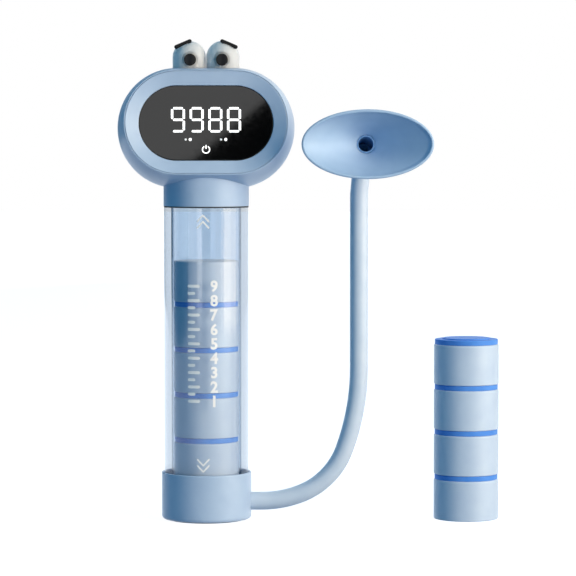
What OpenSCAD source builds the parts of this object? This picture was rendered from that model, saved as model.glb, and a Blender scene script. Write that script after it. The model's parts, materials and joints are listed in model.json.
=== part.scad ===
// Breathing trainer: a clear tube on a base cup, with a head, a hose and a spare stack of weights.
// Millimetres. +Z up, origin at the centre of the foot pad's underside, the face looks along -Y.

/* [Tube] */
// Outside diameter of the clear tube
tube_d = 42; // [38:0.5:46]
// Wall thickness of the clear tube
tube_wall = 3.5; // [3:0.1:4]
// Length of tube that shows between the base and the neck
tube_show = 132.5; // [124:0.5:200]
// Depth that the tube stands in the base
tube_seat = 7.2; // [5:0.1:8]
// Height of the thinner spigot on top of the tube
spigot_h = 7.8; // [5:0.1:9]
// Wall thickness of the spigot
spigot_wall = 1.8; // [1.4:0.1:2.2]

/* [Base] */
// Wall of the base cup round the tube
base_wall = 1.35; // [1.2:0.05:3]
// Height of the base cup's rim above the table
base_h = 24; // [23:0.5:34]
// Thickness of the base cup's floor
base_floor = 3; // [2:0.1:3.5]
// Radius of the rounded lower edge of the base cup
base_edge_r = 2.4; // [1:0.1:3]
// Thickness of the foot pad
foot_h = 1.4; // [1:0.1:1.8]
// How far the foot pad stands out below the base cup
foot_proud = 0.5; // [0.3:0.1:0.8]
// Thickness of the support grid
grid_h = 2.4; // [2:0.1:3]
// Diameter of the holes in the support grid
grid_hole_d = 3.6; // [3:0.1:4]
// Thickness of the landing cushion
cushion_h = 1.6; // [1:0.1:2]
// Thickness of the gasket under the tube
gasket_h = 1; // [0.6:0.1:1.2]

/* [Weights] */
// Air gap round a weight in the tube
weight_gap = 1.3; // [0.8:0.1:2]
// Height of a weight without its cap
weight_h = 20.1; // [16:0.1:22]
// Wall of a weight
weight_wall = 2; // [1.5:0.1:3]
// Floor of a weight
weight_floor = 3; // [2:0.1:4]
// Height of the blue cap
cap_h = 2.5; // [2:0.1:3.5]
// Height of the steel slug
slug_h = 6; // [4:0.1:9]
// Weights in the tube, and in the spare stack
weight_count = 4; // [1:1:4]
// Height of the float on top of the weights
float_h = 20.3; // [15:0.1:24]
// Distance of the spare stack from the tube's axis
spare_x = 130.4; // [128:0.2:170]

/* [Hose] */
// Outside diameter of the hose
hose_d = 9; // [8:0.1:9.4]
// Bore of the hose
hose_bore = 6; // [5.4:0.1:6.4]
// Distance of the upright run of the hose from the tube's axis
hose_x = 76.4; // [76:0.2:84]
// Height of the hose's exit above the table
hose_z = 9; // [8.8:0.1:9.6]
// Radius of the first bend, next to the base
bend_a_r = 54; // [40:1:56]
// Radius of the second bend, the tight one
bend_b_r = 38; // [34:1:42]
// Radius of the third bend, into the upright run
bend_c_r = 120; // [90:1:124]
// Bore of the nipple in the base
nipple_bore = 4.2; // [3.6:0.1:4.4]
// Length of nipple inside the hose
nipple_grip = 6.5; // [5:0.5:6.5]

/* [Mouthpiece] */
// Width of the mouth funnel
mouth_w = 64.6; // [50:0.2:70]
// Height of the mouth funnel
mouth_h = 34; // [28:0.2:44]
// Depth of the mouth funnel from rim to throat
mouth_depth = 20; // [14:0.5:28]
// Wall thickness of the mouth funnel
mouth_wall = 1.6; // [1.2:0.1:2.2]
// Height of the mouth funnel's centre above the table
mouth_z = 188; // [180:0.5:230]
// Radius of the elbow's bend
elbow_r = 12; // [9:0.5:16]
// Bore of the elbow
elbow_bore = 4.2; // [3.6:0.1:4.6]
// Lean of the elbow from upright, in degrees
elbow_lean = 5.5; // [4:0.5:9]

/* [Head] */
// Width of the head
head_w = 88.2; // [84:0.2:100]
// Height of the head
head_h = 59.2; // [58:0.2:62]
// Height of the head's underside above the end of the clear tube
neck_show = 9.65; // [9:0.05:11]
// Reach of the head's front edge from its centre
head_front = 21.5; // [21:0.1:24]
// Reach of the head's back from its centre
head_back = 27; // [26:0.5:32]
// Backward tilt of the head, in degrees
head_tilt = 8.4; // [6:0.2:10]
// Wall thickness of the head shells
head_wall = 2.2; // [1.8:0.1:2.4]
// Margin of the head shell round the face bezel
bezel_margin = 3.8; // [3:0.1:4]
// Width of the bezel's dished face
bezel_face = 6.8; // [6:0.05:8]
// Step from the tube out to the neck
neck_reveal = 0.3; // [0.2:0.05:1]
// Thickness of the dark seal between tube and neck
seal_h = 0.7; // [0.5:0.1:1]

/* [Eyes] */
// Diameter of an eye
eye_d = 16.5; // [14:0.1:17]
// Gap between the two eyes
eye_gap = 0.2; // [0.1:0.1:1]
// Height of the eye tops above the head's top
eye_rise = 13.9; // [11:0.1:18]
// Diameter of a pupil
pupil_d = 6; // [4:0.1:7]
// Diameter of the raised ring round a pupil
ring_d = 8; // [7.5:0.1:9]
// Thickness of a brow
brow_d = 2; // [1.2:0.1:2.2]
// Length of a brow
brow_len = 9.3; // [6:0.1:11]

/* [Hidden] */
$fn = 64;

// Clearances and the overrun of cuts
fit_gap = 0.05;
slip_gap = 0.15;
loose_gap = 0.3;
over = 1;
edge_cut = 0.4;

// Heights and radii up the tube's axis
tube_z = base_h - tube_seat;
tube_top = base_h + tube_show;
spigot_top = tube_top + spigot_h;
tube_r = tube_d / 2;
bore_r = tube_r - tube_wall;
spigot_r = bore_r + spigot_wall;

// Base
foot_margin = 1;
grid_seat = 0.7;
grid_ledge = 1.6;
cushion_seat = 0.8;
socket_r = tube_r + fit_gap;
base_r = socket_r + base_wall;
base_z = foot_proud;
foot_r = base_r - base_edge_r - foot_margin;
ledge_z = tube_z - gasket_h;
ledge_r = bore_r + grid_seat;
grid_r = ledge_r - slip_gap;
grid_z = ledge_z - grid_h;
chamber_r = ledge_r - grid_ledge;
cushion_z = tube_z + cushion_seat;
stack_z = cushion_z + cushion_h;

// Weights
cap_inset = 0.4;
cap_skirt_wall = 1.6;
slug_gap = 0.4;
nest_margin = 4.2;
nest_h = 0.6;
nest_gap = 0.2;
weight_r = bore_r - weight_gap;
cap_r = weight_r - cap_inset;
pocket_r = weight_r - weight_wall;
slug_r = pocket_r - slug_gap;
nest_r = weight_r - nest_margin;
nest_depth = nest_h + nest_gap;
pitch = weight_h + cap_h;
float_z = stack_z + weight_count * pitch;
float_roof = 2.4;
magnet_r = 4;
magnet_h = 3;

// Support grid and landing cushion, with rings of holes out from the centre
cushion_margin = 0.7;
cushion_w = 6;
cushion_r = weight_r - cushion_margin;
hole_ring_r = cushion_r - cushion_w / 2;
hole_rings = 2;

// Nipple and the hole that takes it
port_gap = 0.2;
port_depth = 2.5;
nipple_collar_h = 1.1;
nipple_step = 1;
nipple_inset = 0.6;
nipple_tip = 0.8;
hose_r = hose_d / 2;
port_r = hose_r + port_gap;
port_x = base_r - port_depth;
nipple_out_r = hose_bore / 2 - fit_gap;
nipple_collar_r = port_r - fit_gap * 2;
nipple_stub_r = hose_r - nipple_step;
nipple_stub = port_x - chamber_r + nipple_inset;

// Hose route: a short straight, three bends, the upright run, a slight bend and a straight end
bend_radii = [bend_a_r, bend_b_r, bend_c_r];
bend_headings = [0, 20, 70, 90];
top_bend_r = 36;
hose_start = port_x + nipple_collar_h;
hose_straight = 8.6;
seam_gap = 0.1;
band_rise = 0.06;
band_h = 0.6;

function bend_dx(i) = bend_radii[i] * (sin(bend_headings[i + 1]) - sin(bend_headings[i]));
function bend_dz(i) = bend_radii[i] * (cos(bend_headings[i]) - cos(bend_headings[i + 1]));
function bend_x(i) = i == 0 ? hose_x - bend_dx(0) - bend_dx(1) - bend_dx(2) : bend_x(i - 1) + bend_dx(i - 1);
function bend_z(i) = i == 0 ? hose_z : bend_z(i - 1) + bend_dz(i - 1);

elbow_lead = 2.5;
upright_z = bend_z(3);
elbow_rise = (elbow_lead + elbow_r) * cos(elbow_lean);
elbow_shift = (elbow_lead + elbow_r) * sin(elbow_lean);
straight_x = hose_x + top_bend_r * (1 - cos(elbow_lean));
straight_z = mouth_z - elbow_rise - hose_straight * cos(elbow_lean);
lean_z = straight_z - top_bend_r * sin(elbow_lean);
hose_top = [straight_x + hose_straight * sin(elbow_lean), 0, mouth_z - elbow_rise];

// Mouthpiece
elbow_grip = 8;
elbow_step = 0.2;
mouth_neck = 8;
mouth_neck_wall = 2;
outlet_wall = 0.8;
outlet_depth = 5.5;
mouth_lip = 0.8;
mouth_sides = 56;
mouth_rings = 8;
mouth_x = hose_top[0] + elbow_shift;
mouth_y = -elbow_r - mouth_neck;
throat_r = hose_r + fit_gap;

// Head body, cut into a front and a rear shell at a parting depth
part_w = -8;
front_curve = 44;
front_draw = 29.6;
back_power = 2.3;
front_steps = 10;
back_steps = 14;
crest_drop = 2.2;
head_flat = head_w - head_h;
head_r = head_h / 2;
head_z = tube_top + neck_show + head_r;
crest_r = head_r - bezel_margin + loose_gap;

// Bezel, lens and display board, from the front inwards
bezel_reveal = 0.35;
bezel_depth = 4.3;
lens_inset = 3.4;
lens_t = 1.7;
lens_lip = 1.1;
board_gap = 2.2;
board_h = 1.6;
board_margin = 1.55;
board_foot_cut = 4.3;
board_top_cut = 0.9;
bezel_r = head_r - bezel_margin - bezel_reveal;
window_r = bezel_r - bezel_face;
pocket_w = head_front - bezel_depth;
lens_w = head_front - lens_inset;
lens_lip_w = lens_w - lens_t;
lens_back_w = lens_lip_w - lens_lip;
board_w = lens_back_w - board_gap - board_h;
board_r = bezel_r - board_margin;
board_low = board_r - board_foot_cut;
board_high = board_r - board_top_cut;

// Screws and their bosses
shell_boss_r = 3;
shell_boss_inset = 4.75;
shell_boss_gap = 2.5;
shell_boss_angle = 32;
shell_screw_r = 1;
shell_screw_l = 9;
shell_seat = 4.5;
shell_head_r = 2.3;
shell_head_h = 1.6;
shell_slot = 0.5;
board_boss_r = 1.5;
board_boss_inset = 3.45;
board_boss_angle = 40;
board_screw_r = 0.7;
board_screw_l = 3.4;
board_head_h = 1;
shell_boss_centre = head_r - shell_boss_inset;
shell_boss_w = board_w - shell_boss_gap;
shell_head_w = part_w - shell_seat;
board_boss_centre = bezel_r - board_boss_inset;

// Neck
bulkhead_rise = 13;
bulkhead_h = 2;
neck_front_rise = 15.3;
neck_back_rise = 21.8;
bumper_r = 9;
bumper_h = 1.5;
vent_w = 2;
vent_sill = 1;
vent_count = 5;
vent_step = 18;
lug_w = 5;
lug_reach = 0.8;
lug_h = 1.5;
lug_rise = 13.8;
neck_r = tube_r + neck_reveal;
neck_z = tube_top + seal_h;
neck_socket_r = spigot_r + fit_gap;
bulkhead_z = tube_top + bulkhead_rise;
neck_front_z = tube_top + neck_front_rise;
neck_back_z = tube_top + neck_back_rise;
vent_z = spigot_top + vent_sill;
lug_z = tube_top + lug_rise;

// Eyes
eye_wall = 1.6;
eye_y = -3.5;
eye_plate_h = 0.9;
eye_plate_y = 8;
eye_plate_drop = 3.7;
ring_h = 0.2;
pupil_h = 0.6;
pupil_toe = 0.45;
pupil_drop = 1.3;
brow_slope = 23;
brow_out = 3.05;
brow_up = 6.5;
brow_front = 4.3;
eye_r = eye_d / 2;
eye_x = eye_r + eye_gap / 2;
eye_z = head_z + head_r + eye_rise - eye_r;
eye_plate_z = head_z + head_r - eye_plate_drop;

// Electronics
digit_w = 40;
digit_h = 17;
digit_v = 1.1;
touch_r = 3.5;
touch_up = 6.5;
touch_v = touch_up - board_low;
cell_w = 32;
cell_h = 22;
cell_t = 5.4;
socket_w = 9;
socket_h = 3.2;
socket_l = 7.4;
socket_up = 20.2;
socket_v = socket_up - head_r;
charge_board_w = 16;
charge_board_l = 15;
charge_board_t = 1.2;
charge_reach = 0.5;
charge_board_gap = 0.44;
rail_w = 1.5;
sensor_w = 14;
sensor_l = 11;
sensor_t = 1.6;
sensor_chip = 4;
sensor_chip_h = 1;

function stack_names(word) = [for (i = [1 : weight_count]) str(word, "_", i)];

// Helpers

// A quarter of a circle as outline points, from angle a to angle b
function arc(x, y, r, a, b, steps = 8) =
    [for (i = [0 : steps]) [x + r * cos(a + (b - a) * i / steps), y + r * sin(a + (b - a) * i / steps)]];

module ring(r_out, r_in, h) {
    difference() {
        cylinder(r = r_out, h = h);
        translate([0, 0, -over]) cylinder(r = r_in, h = h + 2 * over);
    }
}

// A disc with its top edge cut at an angle
module edged_disc(r, h, cut) {
    rotate_extrude() polygon([[0, 0], [r, 0], [r, h - cut], [r - cut, h], [0, h]]);
}

// Local frame of the head: X across, Y up the face, Z out of the face
module head_space() {
    translate([0, 0, head_z]) rotate([90 - head_tilt, 0, 0]) children();
}

// A solid whose section is the given half outline, round at both ends and straight between
module stadium(outline) {
    for (s = [-1, 1]) {
        translate([s * head_flat / 2, 0, 0]) rotate([0, 0, -90 * s])
            rotate_extrude(angle = 180) polygon(outline);
        rotate([90, 0, 90]) linear_extrude(head_flat, center = true)
            polygon([for (p = outline) [s * p[0], p[1]]]);
    }
}

// A stadium plate between two depths
module stadium_plate(r, low, high) {
    stadium([[0, low], [r, low], [r, high], [0, high]]);
}

function back_radius(r, a) = r * pow(sin(a), 2 / back_power);
function back_depth(reach, a) = -reach * pow(cos(a), 2 / back_power);
function front_radius(wall, w) =
    head_r - wall - (front_draw - wall) * (1 - sqrt(1 - pow(w / front_curve, 2)));

// Depth of the back, drawn in by a wall, at height v on the head's straight part
function back_at(v, wall) =
    -(head_back - wall) * pow(1 - pow(abs(v) / (head_r - wall), back_power), 1 / back_power);

// Outline of the head's body, drawn in by a wall, from the middle of the back to depth w
function head_outline(wall, w) = concat(
    [for (i = [0 : back_steps]) let (a = 90 * i / back_steps)
        [back_radius(head_r - wall, a), back_depth(head_back - wall, a)]],
    [for (i = [1 : front_steps]) [front_radius(wall, w * i / front_steps), w * i / front_steps]]
);

module head_body() {
    stadium(concat(
        head_outline(0, head_front - crest_drop),
        [[crest_r, head_front], [0, head_front]]
    ));
}

module head_hollow() {
    stadium(concat(head_outline(head_wall, pocket_w), [[0, pocket_w]]));
    stadium_plate(bezel_r + slip_gap, pocket_w, head_front + over);
}

// Places on the four corners of the head, at a radius and angle from the ends of its straight part
module head_corners(r, a) {
    for (s = [-1, 1], t = [-1, 1])
        translate([s * (head_flat / 2 + r * cos(a)), t * r * sin(a), 0]) children();
}

// Base

module base_cup() {
    color("#8FB4DC") difference() {
        rotate_extrude() polygon(concat(
            [[0, base_z + foot_h - foot_proud], [foot_r + slip_gap, base_z + foot_h - foot_proud]],
            [[foot_r + slip_gap, base_z]],
            arc(base_r - base_edge_r, base_z + base_edge_r, base_edge_r, -90, 0),
            [[base_r, base_h - edge_cut], [base_r - edge_cut, base_h], [socket_r + edge_cut, base_h]],
            [[socket_r, base_h - edge_cut], [socket_r, ledge_z], [ledge_r, ledge_z], [ledge_r, grid_z]],
            [[chamber_r, grid_z], [chamber_r, base_z + base_floor], [0, base_z + base_floor]]
        ));
        translate([port_x, 0, hose_z]) rotate([0, 90, 0]) cylinder(r = port_r, h = port_depth + over);
        translate([port_x - nipple_stub - over, 0, hose_z]) rotate([0, 90, 0])
            cylinder(r = nipple_stub_r + fit_gap, h = nipple_stub + 2 * over);
    }
}

module foot_pad() {
    color("#2B3138") cylinder(r = foot_r, h = foot_h);
}

// Holes in rings of 6, 12 and so on, the outer ring under the cushion's middle
module grid_holes(h) {
    for (k = [1 : hole_rings], i = [1 : 6 * k]) rotate([0, 0, 60 / k * i])
        translate([hole_ring_r * k / hole_rings, 0, -over]) cylinder(r = grid_hole_d / 2, h = h + 2 * over);
}

module support_grid() {
    color("#A9C6E6") difference() {
        union() {
            translate([0, 0, grid_z]) cylinder(r = grid_r, h = grid_h);
            translate([0, 0, ledge_z]) ring(cushion_r, cushion_r - cushion_w, cushion_z - ledge_z);
        }
        translate([0, 0, grid_z]) grid_holes(cushion_z - grid_z);
        translate([0, 0, grid_z - over]) cylinder(r = grid_hole_d / 2, h = grid_h + 2 * over);
    }
}

module landing_cushion() {
    color("#5C86B4") translate([0, 0, cushion_z]) difference() {
        ring(cushion_r, cushion_r - cushion_w, cushion_h);
        grid_holes(cushion_h);
    }
}

module hose_nipple() {
    stub = nipple_stub;
    tip = nipple_collar_h + nipple_grip;
    color("#9FBEE0") translate([port_x, 0, hose_z]) rotate([0, 90, 0]) rotate_extrude() polygon([
        [nipple_bore / 2, -stub], [nipple_stub_r, -stub], [nipple_stub_r, 0],
        [nipple_collar_r, 0], [nipple_collar_r, nipple_collar_h], [nipple_out_r, nipple_collar_h],
        [nipple_out_r, tip - nipple_tip], [nipple_out_r - edge_cut, tip], [nipple_bore / 2, tip]
    ]);
}

module tube_gasket() {
    color("#30363D") translate([0, 0, ledge_z]) ring(tube_r - slip_gap, bore_r + slip_gap, gasket_h);
}

// Tube

module clear_tube() {
    color("#DCE8F2", 0.35) rotate_extrude() polygon([
        [bore_r, tube_z], [tube_r - edge_cut, tube_z], [tube_r, tube_z + edge_cut], [tube_r, tube_top],
        [spigot_r, tube_top], [spigot_r, spigot_top - edge_cut], [spigot_r - edge_cut, spigot_top],
        [bore_r, spigot_top]
    ]);
}

// Column of weights

// A weight's plastic cup, open at the top for its slug and cap
module weight_cup() {
    r = weight_r;
    rotate_extrude() polygon([
        [0, nest_depth], [nest_r + slip_gap, nest_depth], [nest_r + slip_gap, 0],
        [r - edge_cut, 0], [r, edge_cut], [r, weight_h - edge_cut * 2], [r - edge_cut * 2, weight_h],
        [pocket_r, weight_h], [pocket_r, weight_floor], [0, weight_floor]
    ]);
}

// A blue cap with a skirt that holds the slug down and a low boss that nests in the weight above
module weight_cap() {
    skirt_r = pocket_r - fit_gap;
    skirt_low = weight_floor + slug_h;
    rotate_extrude() polygon([
        [0, weight_h], [skirt_r - cap_skirt_wall, weight_h], [skirt_r - cap_skirt_wall, skirt_low],
        [skirt_r, skirt_low], [skirt_r, weight_h], [cap_r, weight_h], [cap_r, pitch - edge_cut],
        [cap_r - edge_cut, pitch], [nest_r, pitch], [nest_r - edge_cut, pitch + nest_h], [0, pitch + nest_h]
    ]);
}

module weight_slug() {
    translate([0, 0, weight_floor]) edged_disc(slug_r, slug_h, edge_cut);
}

module in_stack(i) {
    translate([0, 0, stack_z + (i - 1) * pitch]) children();
}

module in_spares(i) {
    translate([spare_x, 0, (i - 1) * pitch]) children();
}

module stack_slugs() {
    color("#9AA0A6") for (i = [1 : weight_count]) in_stack(i) weight_slug();
}

module float_body() {
    r = weight_r;
    inner = r - weight_wall;
    color("#B4CDEA") translate([0, 0, float_z]) difference() {
        union() {
            rotate_extrude() polygon([
                [inner, 0], [r - edge_cut, 0], [r, edge_cut], [r, float_h - edge_cut * 2],
                [r - edge_cut * 2, float_h], [0, float_h], [0, float_h - float_roof],
                [inner, float_h - float_roof]
            ]);
            translate([0, 0, float_h - float_roof - magnet_h])
                cylinder(r = magnet_r + weight_wall, h = magnet_h + edge_cut);
        }
        translate([0, 0, float_h - float_roof - magnet_h - over])
            cylinder(r = magnet_r + fit_gap, h = magnet_h + over);
    }
}

module float_magnet() {
    color("#8A8F96") translate([0, 0, float_z + float_h - float_roof - magnet_h])
        cylinder(r = magnet_r, h = magnet_h);
}

// Hose and mouthpiece

// Places children on the hose's line at point x, z, with Z along heading a
module hose_point(x, z, a) {
    translate([x, 0, z]) rotate([0, 90 - a, 0]) children();
}

// A hose section swept through an arc that turns upwards from heading a to heading b
module hose_arc(x, z, r, a, b) {
    trim = seam_gap / r * 180 / PI;
    translate([x - r * sin(a), 0, z + r * cos(a)]) rotate([90, 0, 0]) rotate([0, 0, a + trim - 90])
        rotate_extrude(angle = b - a - trim * 2) translate([r, 0]) hose_section();
}

// A straight length of hose
module hose_run(x, z, a, length) {
    hose_point(x, z, a) translate([0, 0, seam_gap]) linear_extrude(length - seam_gap * 2) hose_section();
}

// The thin moulded band that joins two lengths of hose
module hose_band(x, z, a) {
    hose_point(x, z, a) translate([0, 0, -band_h / 2])
        ring(hose_r + band_rise, hose_bore / 2 - band_rise, band_h);
}

module hose_section() {
    difference() {
        circle(r = hose_r);
        circle(r = hose_bore / 2);
    }
}

module hose() {
    lean = elbow_lean;
    color("#A9C4E6") {
        hose_run(hose_start - seam_gap, hose_z, 0, bend_x(0) - hose_start + seam_gap);
        for (i = [0 : 2]) {
            hose_band(bend_x(i), bend_z(i), bend_headings[i]);
            hose_arc(bend_x(i), bend_z(i), bend_radii[i], bend_headings[i], bend_headings[i + 1]);
        }
        hose_band(hose_x, upright_z, 90);
        hose_run(hose_x, upright_z, 90, lean_z - upright_z);
        hose_band(hose_x, lean_z, 90);
        hose_arc_right(hose_x, lean_z, top_bend_r, lean);
        hose_band(straight_x, straight_z, 90 - lean);
        hose_run(straight_x, straight_z, 90 - lean, hose_straight + seam_gap);
    }
}

// The upright hose swept to the right by sweep degrees
module hose_arc_right(x, z, r, sweep) {
    trim = seam_gap / r * 180 / PI;
    translate([x + r, 0, z]) rotate([90, 0, 0]) rotate([0, 0, 180 - sweep + trim])
        rotate_extrude(angle = sweep - trim * 2) translate([r, 0]) hose_section();
}

// Local frame of the elbow: its origin on the hose's end face, Z up along the hose
module elbow_space() {
    translate(hose_top) rotate([0, elbow_lean, 0]) children();
}

module mouth_elbow() {
    out_r = hose_r;
    in_r = elbow_bore / 2;
    spigot = hose_bore / 2 - fit_gap;
    lap = elbow_step * 2;
    color("#8FB2DA") elbow_space() {
        rotate_extrude() polygon([
            [in_r, -elbow_grip], [spigot - edge_cut, -elbow_grip], [spigot, -elbow_grip + nipple_tip],
            [spigot, 0], [out_r, 0], [out_r, elbow_lead + lap], [in_r, elbow_lead + lap]
        ]);
        translate([0, -elbow_r, elbow_lead]) rotate([90, 0, 90]) rotate_extrude(angle = 90)
            translate([elbow_r, 0]) difference() {
                circle(r = out_r - elbow_step);
                circle(r = in_r - elbow_step);
            }
        translate([0, lap - elbow_r, elbow_lead + elbow_r]) rotate([90, 0, 0]) difference() {
            ring(out_r, in_r, mouth_neck + lap - slip_gap);
            translate([0, 0, mouth_neck + lap - slip_gap - outlet_depth])
                cylinder(r = out_r - outlet_wall, h = outlet_depth + over);
        }
    }
}

// Half width and half height of the funnel at share t of its depth, grown by a wall
function mouth_a(t, wall) = throat_r + wall + (mouth_w / 2 - throat_r - wall) * t;
function mouth_b(t, wall) = throat_r + wall + (mouth_h / 2 - throat_r - wall) * pow(t, 0.92);

// A loft from the round throat to the oval rim, as one closed solid along Z
module mouth_loft(grow, low, high) {
    rings = [for (k = [0 : mouth_rings]) k / mouth_rings];
    points = concat(
        [for (t = rings, i = [0 : mouth_sides - 1]) let (a = 360 * i / mouth_sides) [
            (mouth_a(t, 0) + grow) * cos(a), (mouth_b(t, 0) + grow) * sin(a), low + (high - low) * t
        ]],
        [[0, 0, low], [0, 0, high]]
    );
    n = mouth_sides;
    last = n * mouth_rings;
    faces = concat(
        [for (k = [0 : mouth_rings - 1], i = [0 : n - 1])
            [k * n + i, (k + 1) * n + i, (k + 1) * n + (i + 1) % n]],
        [for (k = [0 : mouth_rings - 1], i = [0 : n - 1])
            [k * n + i, (k + 1) * n + (i + 1) % n, k * n + (i + 1) % n]],
        [for (i = [0 : n - 1]) [i, (i + 1) % n, len(points) - 2]],
        [for (i = [0 : n - 1]) [last + (i + 1) % n, last + i, len(points) - 1]]
    );
    polyhedron(points, faces);
}

module mouth_funnel() {
    color("#7FA9DC") translate([mouth_x, mouth_y, mouth_z]) rotate([90, 0, 0]) difference() {
        union() {
            mouth_loft(0, -mouth_wall, mouth_depth);
            translate([0, 0, -mouth_neck])
                cylinder(r = throat_r + mouth_neck_wall, h = mouth_neck + mouth_wall);
        }
        mouth_loft(-mouth_lip, 0, mouth_depth + fit_gap);
        translate([0, 0, -mouth_neck - over]) cylinder(r = throat_r, h = mouth_neck + mouth_depth);
    }
}

// Neck

module neck_seal() {
    color("#1F252C") translate([0, 0, tube_top]) ring(neck_r - slip_gap, spigot_r + slip_gap, seal_h);
}

module neck_collar() {
    color("#86ADD8") difference() {
        union() {
            translate([0, 0, neck_z]) cylinder(r = neck_r, h = neck_back_z - neck_z);
            for (s = [-1, 1]) translate([s * neck_r, 0, lug_z + lug_h / 2])
                cube([lug_reach * 2, lug_w, lug_h], center = true);
        }
        translate([0, 0, neck_z - over]) cylinder(r = neck_socket_r, h = bulkhead_z - neck_z + over);
        translate([0, 0, bulkhead_z + bulkhead_h]) cylinder(r = neck_socket_r, h = neck_back_z);
        translate([0, -neck_r, neck_front_z])
            rotate([atan((neck_back_z - neck_front_z) / neck_r / 2), 0, 0])
                translate([-neck_r * 2, -neck_r, 0]) cube([neck_r * 4, neck_r * 4, neck_r * 2]);
        for (i = [1 : vent_count]) rotate([0, 0, 90 + vent_step * (i - (vent_count + 1) / 2)])
            translate([neck_r - tube_wall, -vent_w / 2, vent_z])
                cube([tube_wall * 2, vent_w, bulkhead_z - vent_z - edge_cut]);
    }
}

module top_bumper() {
    color("#30363D") translate([0, 0, bulkhead_z - bumper_h]) cylinder(r = bumper_r, h = bumper_h);
}

// Head shells and face

// The vertical holes that the neck and the eyes take in the shells
module head_holes() {
    translate([0, 0, neck_z]) cylinder(r = neck_r + fit_gap, h = neck_back_z - neck_z + loose_gap);
    for (s = [-1, 1]) translate([s * eye_x, eye_y, eye_plate_z]) cylinder(r = eye_r + slip_gap, h = eye_r);
}

module front_shell() {
    color("#8DB2DC") difference() {
        head_space() difference() {
            union() {
                difference() {
                    head_body();
                    head_hollow();
                }
                head_corners(shell_boss_centre, shell_boss_angle)
                    translate([0, 0, part_w]) cylinder(r = shell_boss_r, h = shell_boss_w - part_w);
            }
            translate([-head_w, -head_w, part_w - head_w]) cube([head_w * 2, head_w * 2, head_w]);
            head_corners(shell_boss_centre, shell_boss_angle)
                translate([0, 0, part_w - over]) cylinder(r = shell_screw_r + fit_gap, h = shell_screw_l);
        }
        head_holes();
    }
}

module rear_shell() {
    color("#86ADD8") difference() {
        head_space() {
            difference() {
                union() {
                    difference() {
                        head_body();
                        head_hollow();
                    }
                    intersection() {
                        head_body();
                        head_corners(shell_boss_centre, shell_boss_angle) translate([0, 0, -head_back])
                            cylinder(r = shell_boss_r + edge_cut, h = head_back);
                    }
                    charge_shelf();
                }
                translate([-head_w, -head_w, part_w]) cube([head_w * 2, head_w * 2, head_w]);
                head_corners(shell_boss_centre, shell_boss_angle) {
                    translate([0, 0, -head_back]) cylinder(r = shell_screw_r + slip_gap, h = head_back);
                    translate([0, 0, shell_head_w - head_back])
                        cylinder(r = shell_head_r + slip_gap, h = head_back);
                }
                translate([0, socket_v, -head_back])
                    cube([socket_w + slip_gap, socket_h + slip_gap, head_wall * 4], center = true);
            }
        }
        head_holes();
    }
}

// Two rails inside the rear shell that carry the charge board
module charge_shelf() {
    reach = charge_board_l + head_wall;
    v = socket_v - socket_h / 2 - charge_board_t - rail_w / 2;
    w = back_at(v, head_wall) - head_wall / 2 + reach / 2;
    for (s = [-1, 1]) translate([s * (charge_board_w / 2 - rail_w), v, w])
        cube([rail_w, rail_w, reach], center = true);
}

module face_bezel() {
    color("#A9C3E8") head_space() difference() {
        union() {
            stadium([
                [window_r + slip_gap, lens_lip_w], [window_r + slip_gap, lens_w + slip_gap],
                [bezel_r, head_front - loose_gap], [bezel_r, pocket_w], [bezel_r - head_wall / 2, pocket_w],
                [bezel_r - head_wall / 2, pocket_w - head_wall / 2],
                [window_r + head_wall, pocket_w - head_wall / 2], [window_r + head_wall, lens_lip_w]
            ]);
            head_corners(board_boss_centre, board_boss_angle) translate([0, 0, board_w + board_h])
                cylinder(r = board_boss_r, h = pocket_w - board_w - board_h);
        }
        head_corners(board_boss_centre, board_boss_angle) translate([0, 0, board_w])
            cylinder(r = board_screw_r + fit_gap, h = board_screw_l + board_h);
    }
}

module display_lens() {
    color("#14171B") head_space() stadium([
        [0, lens_back_w], [window_r + head_wall - edge_cut, lens_back_w],
        [window_r + head_wall - edge_cut, lens_lip_w], [window_r, lens_lip_w], [window_r, lens_w], [0, lens_w]
    ]);
}

module display_board() {
    color("#2F5D46") head_space() difference() {
        stadium_plate(board_r, board_w, board_w + board_h);
        translate([-head_flat, -head_h - board_low, 0]) cube([head_flat * 2, head_h, head_h]);
        translate([-head_flat, board_high, 0]) cube([head_flat * 2, head_h, head_h]);
        head_corners(board_boss_centre, board_boss_angle) translate([0, 0, board_w - over])
            cylinder(r = board_screw_r + slip_gap, h = board_h + 2 * over);
    }
}

module digit_module() {
    color("#3A3F45") head_space() translate([-digit_w / 2, digit_v - digit_h / 2, board_w + board_h])
        cube([digit_w, digit_h, lens_back_w - board_w - board_h]);
}

module touch_pad() {
    color("#C9A24A") head_space() translate([0, touch_v, board_w + board_h])
        cylinder(r = touch_r, h = lens_back_w - board_w - board_h);
}

module battery_cell() {
    color("#B8BEC6") head_space() translate([-cell_w / 2, -cell_h / 2, board_w - cell_t])
        cube([cell_w, cell_h, cell_t]);
}

module charge_board() {
    v = socket_v - socket_h / 2 - charge_board_t;
    color("#2F5D46") head_space()
        translate([-charge_board_w / 2, v, back_at(v, head_wall) + charge_board_gap])
            cube([charge_board_w, charge_board_t, charge_board_l]);
}

module charge_socket() {
    w = back_at(socket_v, 0) + charge_reach + socket_l / 2;
    color("#B7BCC2") head_space() translate([0, socket_v, w]) difference() {
        cube([socket_w, socket_h, socket_l], center = true);
        translate([0, 0, -head_wall / 2])
            cube([socket_w - edge_cut * 2, socket_h - edge_cut * 2, socket_l], center = true);
    }
}

module sensor_board() {
    z = bulkhead_z + bulkhead_h;
    color("#2F5D46") {
        translate([-sensor_w / 2, -sensor_l / 2, z]) cube([sensor_w, sensor_l, sensor_t]);
        translate([-sensor_chip / 2, -sensor_chip / 2, z + sensor_t])
            cube([sensor_chip, sensor_chip, sensor_chip_h]);
    }
}

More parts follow.
